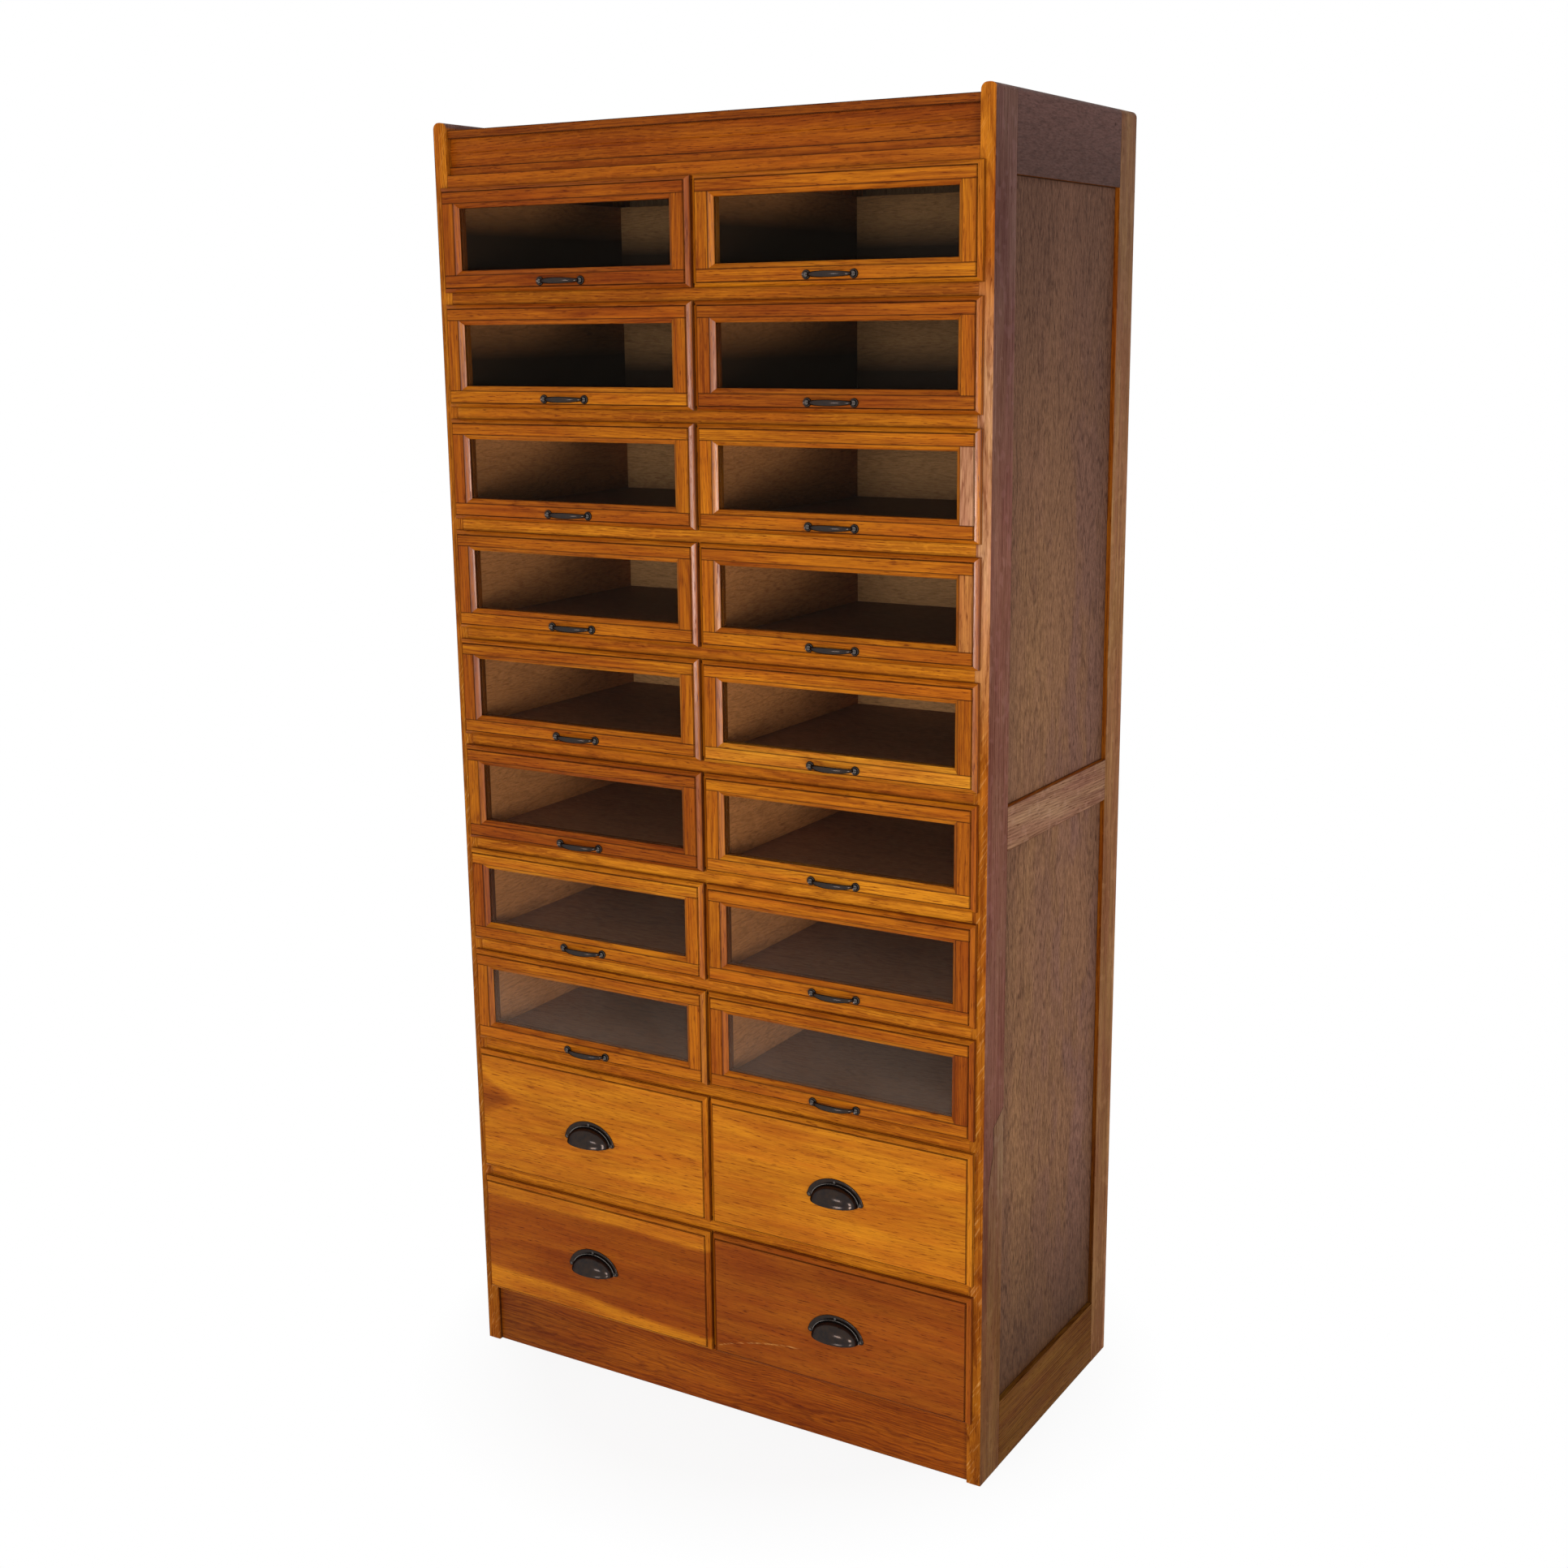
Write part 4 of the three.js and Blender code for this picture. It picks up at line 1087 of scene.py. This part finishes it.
def side_of(name):
    low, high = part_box(name)
    on_right = low.x > 0
    rail_front, rail_back = low.y + FRONT_STILE, high.y - REAR_STILE
    rebate_front = high.y - BACK_REBATE - CARCASS_GAP
    mid_high, top_rail = SIDE_MID_RAIL_BOTTOM + SIDE_MID_RAIL, high.z - SIDE_TOP_RAIL
    cap, radii = high.z - SIDE_TOP_RADIUS, (SIDE_TOP_RADIUS, SIDE_TOP_RADIUS)
    right_half = arc((high.x - SIDE_TOP_RADIUS, cap), radii, 0, 90, SIDE_TOP_STEPS)
    left_half = arc((low.x + SIDE_TOP_RADIUS, cap), radii, 90, 180, SIDE_TOP_STEPS)

    def nosed(stock, y_low, y_high, z_low, tone, along, at_ends=0.0):
        outline = [(low.x, z_low), (high.x, z_low)] + right_half + left_half
        dirt_and_shade_by_point = [0.4, 0.4] + [0.1] * (len(outline) - 2)
        stock.run(outline, y_low, y_high, dirt_and_shade_by_point, tone, "y", along, at_ends)

    stiles, top, foot, panels = Stock(), Stock(), Stock(), Stock()
    nosed(stiles, low.y, rail_front, 0, tone_of("stile"), "z")
    rear_tone = tone_of("rear")
    nosed(stiles, rail_back, rebate_front, 0, rear_tone, "z")
    if on_right:
        inner_x = low.x + BACK_REBATE
        behind = [(inner_x, 0), (high.x, 0)] + right_half + [(inner_x, high.z)]
    else:
        inner_x = high.x - BACK_REBATE
        behind = [(low.x, 0), (inner_x, 0), (inner_x, high.z)] + left_half
    stiles.run(behind, rebate_front, high.y, [0.1] * len(behind), rear_tone, "y", "z", same_board=True)
    rail_y = (rail_front + JOINT, rail_back - JOINT)
    nosed(top, *rail_y, top_rail, tone_of("plum"), "y", 0.8)
    for stock, z_span, word in (
        (stiles, (SIDE_MID_RAIL_BOTTOM, mid_high), "rose"),
        (foot, (0, SIDE_BOTTOM_RAIL), "foot"),
    ):
        stock.board((low.x, high.x), rail_y, z_span, "y", tone_of(word))
    panel_x = (low.x, high.x - PANEL_RECESS) if on_right else (low.x + PANEL_RECESS, high.x)
    y_span = (rail_front, rail_back)
    # The panels' rims are darker where they sit back behind the frame: partly dirt, partly painted shade.
    for z_span in ((SIDE_BOTTOM_RAIL, SIDE_MID_RAIL_BOTTOM), (mid_high, top_rail)):
        panels.board(panel_x, y_span, z_span, "z", TONES["panel"], rim=2 * BOARD_RIM, edge_dirt_and_shade=0.9)
    for part, stock, material in (
        ("top_rail", top, swirled_oak),
        ("bottom_rail", foot, foot_oak),
        ("frame", stiles, flank_oak),
        ("panels", panels, panel_ply),
    ):
        stock.piece(f"{name}_{part}", [material], "carcass", [name], "oak_side")


def carcass_piece(stock, name, material):
    stock.piece(name, [material], "carcass", ["carcass_frame"], "oak_carcass")


def opening_heights(row):
    low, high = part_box(f"drawer_left_{row:02d}")
    return low.z + LIP_OVERLAP_Z, high.z - LIP_OVERLAP_Z


FRAME_X = (frame_low.x, frame_high.x)
RAIL_Y = (FRONT_EDGE, FRONT_EDGE + RAIL_DEPTH)


def rails_and_muntins():
    rails, muntins = Stock(), Stock()
    for row in range(1, ALL_ROWS):
        z_span = (opening_heights(row + 1)[1], opening_heights(row)[0])
        tone = tone_of(RAIL_TONES[row - 1])
        # Each rail darkens in a band under the lips above and below it: painted shade, with some dirt.
        rails.board(FRAME_X, RAIL_Y, z_span, "x", tone, rim=LIP_OVERLAP_Z + RAIL_SHADE, edge_dirt_and_shade=1.0, clean=0)
    for row in range(1, ALL_ROWS + 1):
        bottom, top = opening_heights(row)
        z_span = (PLINTH_HEIGHT if row == ALL_ROWS else bottom, top)
        muntins.board((-PARTITION / 2, PARTITION / 2), RAIL_Y, z_span, "z", tone_of("ochre"))
    carcass_piece(rails, "drawer_rails", carcass_oak)
    carcass_piece(muntins, "muntins", carcass_oak)


def cornice():
    rail_low = opening_heights(1)[1]
    rail_high = rail_low + LIP_OVERLAP_Z + TOP_RAIL_VISIBLE
    low_high = rail_high + CORNICE_LOW
    band_high = low_high + CORNICE_BAND
    deep = FRONT_EDGE + CORNICE_DEPTH
    middle = (low_high + band_high) / 2
    band = FRONT_EDGE + CORNICE_BAND_SETBACK
    arris = band - CORNICE_ARRIS_RISE
    stock = Stock()

    # The dark lines where the cornice's boards step back are partly dirt and partly painted shade.
    def strip(setback, z_low, z_high, word):
        y_span, z_span = (FRONT_EDGE + setback, deep), (z_low, z_high)
        stock.board(FRAME_X, y_span, z_span, "x", tone_of(word), rim=CORNICE_STRIP_RIM, edge_dirt_and_shade=1.0, clean=0)

    stock.board(FRAME_X, RAIL_Y, (rail_low, rail_high), "x", tone_of("russet"))
    strip(CORNICE_LOW_SETBACK, rail_high, low_high, "umber")
    outline = [
        (deep, low_high),
        (deep, band_high),
        (band, band_high),
        (band, band_high - CORNICE_RIM),
        (arris + CORNICE_ARRIS_ROUND, middle + CORNICE_ARRIS_ROUND),
        (arris, middle),
        (arris + CORNICE_ARRIS_ROUND, middle - CORNICE_ARRIS_ROUND),
        (band, low_high + CORNICE_RIM),
        (band, low_high),
    ]
    dirt_and_shade_by_point = [0.6, 0.6, 0.7, 0.0, 0.0, 0.0, 0.0, 0.0, 0.6]
    stock.run(outline, *FRAME_X, dirt_and_shade_by_point, tone_of("umber"), at_ends=0.6)
    strip(CORNICE_TOP_SETBACK, band_high, frame_high.z, "crown")
    carcass_piece(stock, "cornice", carcass_oak)


def boards_inside():
    stock = Stock()
    back, tone = frame_high.y, TONES["ply"]
    inside, half = RAIL_Y[1], PARTITION / 2
    behind_plinth = FRONT_EDGE + PLINTH_RECESS + PLINTH_THICKNESS
    under_top = frame_high.z - TOP_BOARD
    for x_span, y_span, z_span, along, board_tone in (
        ((-half, half), (inside, back), (PLINTH_HEIGHT, under_top), "z", tone),
        (FRAME_X, (behind_plinth, back), (PLINTH_HEIGHT - BOTTOM_BOARD, PLINTH_HEIGHT), "x_flat", tone),
        (FRAME_X, (FRONT_EDGE + CORNICE_DEPTH, back), (under_top, frame_high.z), "x_flat", TONES["sheet"]),
    ):
        stock.board(x_span, y_span, z_span, along, board_tone)
    side_inner = frame_high.x + CARCASS_GAP
    runner_bands = (
        (frame_low.x, RUNNER_WIDTH - side_inner),
        (-half - RUNNER_WIDTH, -half),
        (half, half + RUNNER_WIDTH),
        (side_inner - RUNNER_WIDTH, frame_high.x),
    )
    for row in range(1, ALL_ROWS):
        top = opening_heights(row)[0]
        for x_span in runner_bands:
            stock.board(x_span, (inside, back - CARCASS_GAP), (top - RUNNER_HEIGHT, top), "y", tone)
    carcass_piece(stock, "inner_boards", box_ply)


def plinth():
    stock = Stock()
    front = FRONT_EDGE + PLINTH_RECESS
    y_span = (front, front + PLINTH_THICKNESS)
    stock.board(FRAME_X, y_span, (0, PLINTH_HEIGHT), "x", TONES["umber"], pith=PLINTH_PITH)
    carcass_piece(stock, "plinth_board", plinth_oak)


def back_panel():
    stock = Stock()
    stock.board(*zip(*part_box("back_panel")), "z", TONES["sheet"], rim=5 * BOARD_RIM)
    stock.piece("back_sheet", [box_ply], "carcass", ["back_panel"], "plywood_back")


# Stage, camera and light

FLOOR_REACH = 14.0
FLOOR_SINK = 0.5 * MM
FLOOR_WHITENS = (0.40, 0.62)
WORLD_STRENGTH = 0.64
# Two windows, each with its name, place, size and power.
LAMPS = (
    ("front_window", (0.1, -4.6, 1.7), (1.5, 0.6), 42),
    ("right_window", (3.4, -2.6, 0.95), (1.1, 0.85), 54),
)
LAMPS_AIM = Vector((0, 0, 1.0))


def shown_white(surface, share=1.0):
    """A share of pure white for the camera, gloss and glass, and the plain surface for the light."""
    tree = surface.id_data
    kind = "Background" if surface.name.startswith("Background") else "Emission"
    white = node(tree, kind, {"Color": (1, 1, 1), "Strength": 1.0})
    path = node(tree, "LightPath")
    seen_by = Value(path, "Is Camera Ray")
    for ray in ("Is Transmission Ray", "Is Glossy Ray"):
        seen_by = largest(seen_by, Value(path, ray))
    return blended(seen_by * share, surface, white)


def stage_floor():
    mesh = bpy.data.meshes.new("floor")
    corners = [(x * FLOOR_REACH, y * FLOOR_REACH, 0) for x, y in ((-1, -1), (1, -1), (1, 1), (-1, 1))]
    mesh.from_pydata(corners, [], [(0, 1, 2, 3)])
    floor = new_object("floor", mesh)
    floor.location.z = -FLOOR_SINK
    material, tree, shader = new_material("pale_floor")
    wire(shader, {"Base Color": (0.90, 0.90, 0.90), "Roughness": 0.9, "Specular IOR Level": 0.0})
    away = Value(node(tree, "VectorMath", {0: place(tree)}, operation="LENGTH"), "Value")
    whiter = ranged(away, *FLOOR_WHITENS, 0.88, 1.0)
    plug(tree.nodes["Material Output"].inputs["Surface"], shown_white(shader, whiter))
    mesh.materials.append(material)


def camera():
    made = new_object("camera", bpy.data.cameras.new("camera"))
    turn = (
        Matrix.Rotation(CAMERA_YAW, 4, "Z")
        @ Matrix.Rotation(-CAMERA_PITCH, 4, "X")
        @ Matrix.Rotation(-CAMERA_ROLL, 4, "Y")
        @ Matrix.Rotation(math.pi / 2, 4, "X")
    )
    made.matrix_world = Matrix.Translation(CAMERA_FROM_FRONT + Vector((0, FRONT_EDGE, 0))) @ turn
    made.data.lens = CAMERA_LENS
    made.data.sensor_width = CAMERA_SENSOR
    made.data.clip_start, made.data.clip_end = CAMERA_NEAREST, CAMERA_FARTHEST
    bpy.context.scene.camera = made


def area_light(name, position, size, power):
    lamp = bpy.data.lights.new(name, "AREA")
    lamp.shape = "RECTANGLE"
    lamp.size, lamp.size_y = size
    lamp.energy = power
    made = new_object(name, lamp)
    made.location = position
    made.rotation_euler = (LAMPS_AIM - Vector(position)).to_track_quat("-Z", "Y").to_euler()


def studio():
    world = bpy.data.worlds.new("studio")
    bpy.context.scene.world = world
    world.use_nodes = True
    tree = world.node_tree
    plain = tree.nodes["Background"]
    wire(plain, {"Color": (1, 1, 1), "Strength": WORLD_STRENGTH})
    plug(tree.nodes["World Output"].inputs["Surface"], shown_white(plain))
    for lamp in LAMPS:
        area_light(*lamp)


for number in range(1, ALL_ROWS + 1):
    for side_name in COLUMNS:
        this_drawer = Drawer(side_name, number)
        front_of(this_drawer)
        box_of(this_drawer)
        if this_drawer.glazed:
            dress_pane(this_drawer)
            bow_pull(this_drawer)
        else:
            cup_pull(this_drawer)
side_of("left_side")
side_of("right_side")
rails_and_muntins()
cornice()
boards_inside()
plinth()
back_panel()
stage_floor()
camera()
studio()
bpy.context.scene.view_settings.view_transform = "Standard"
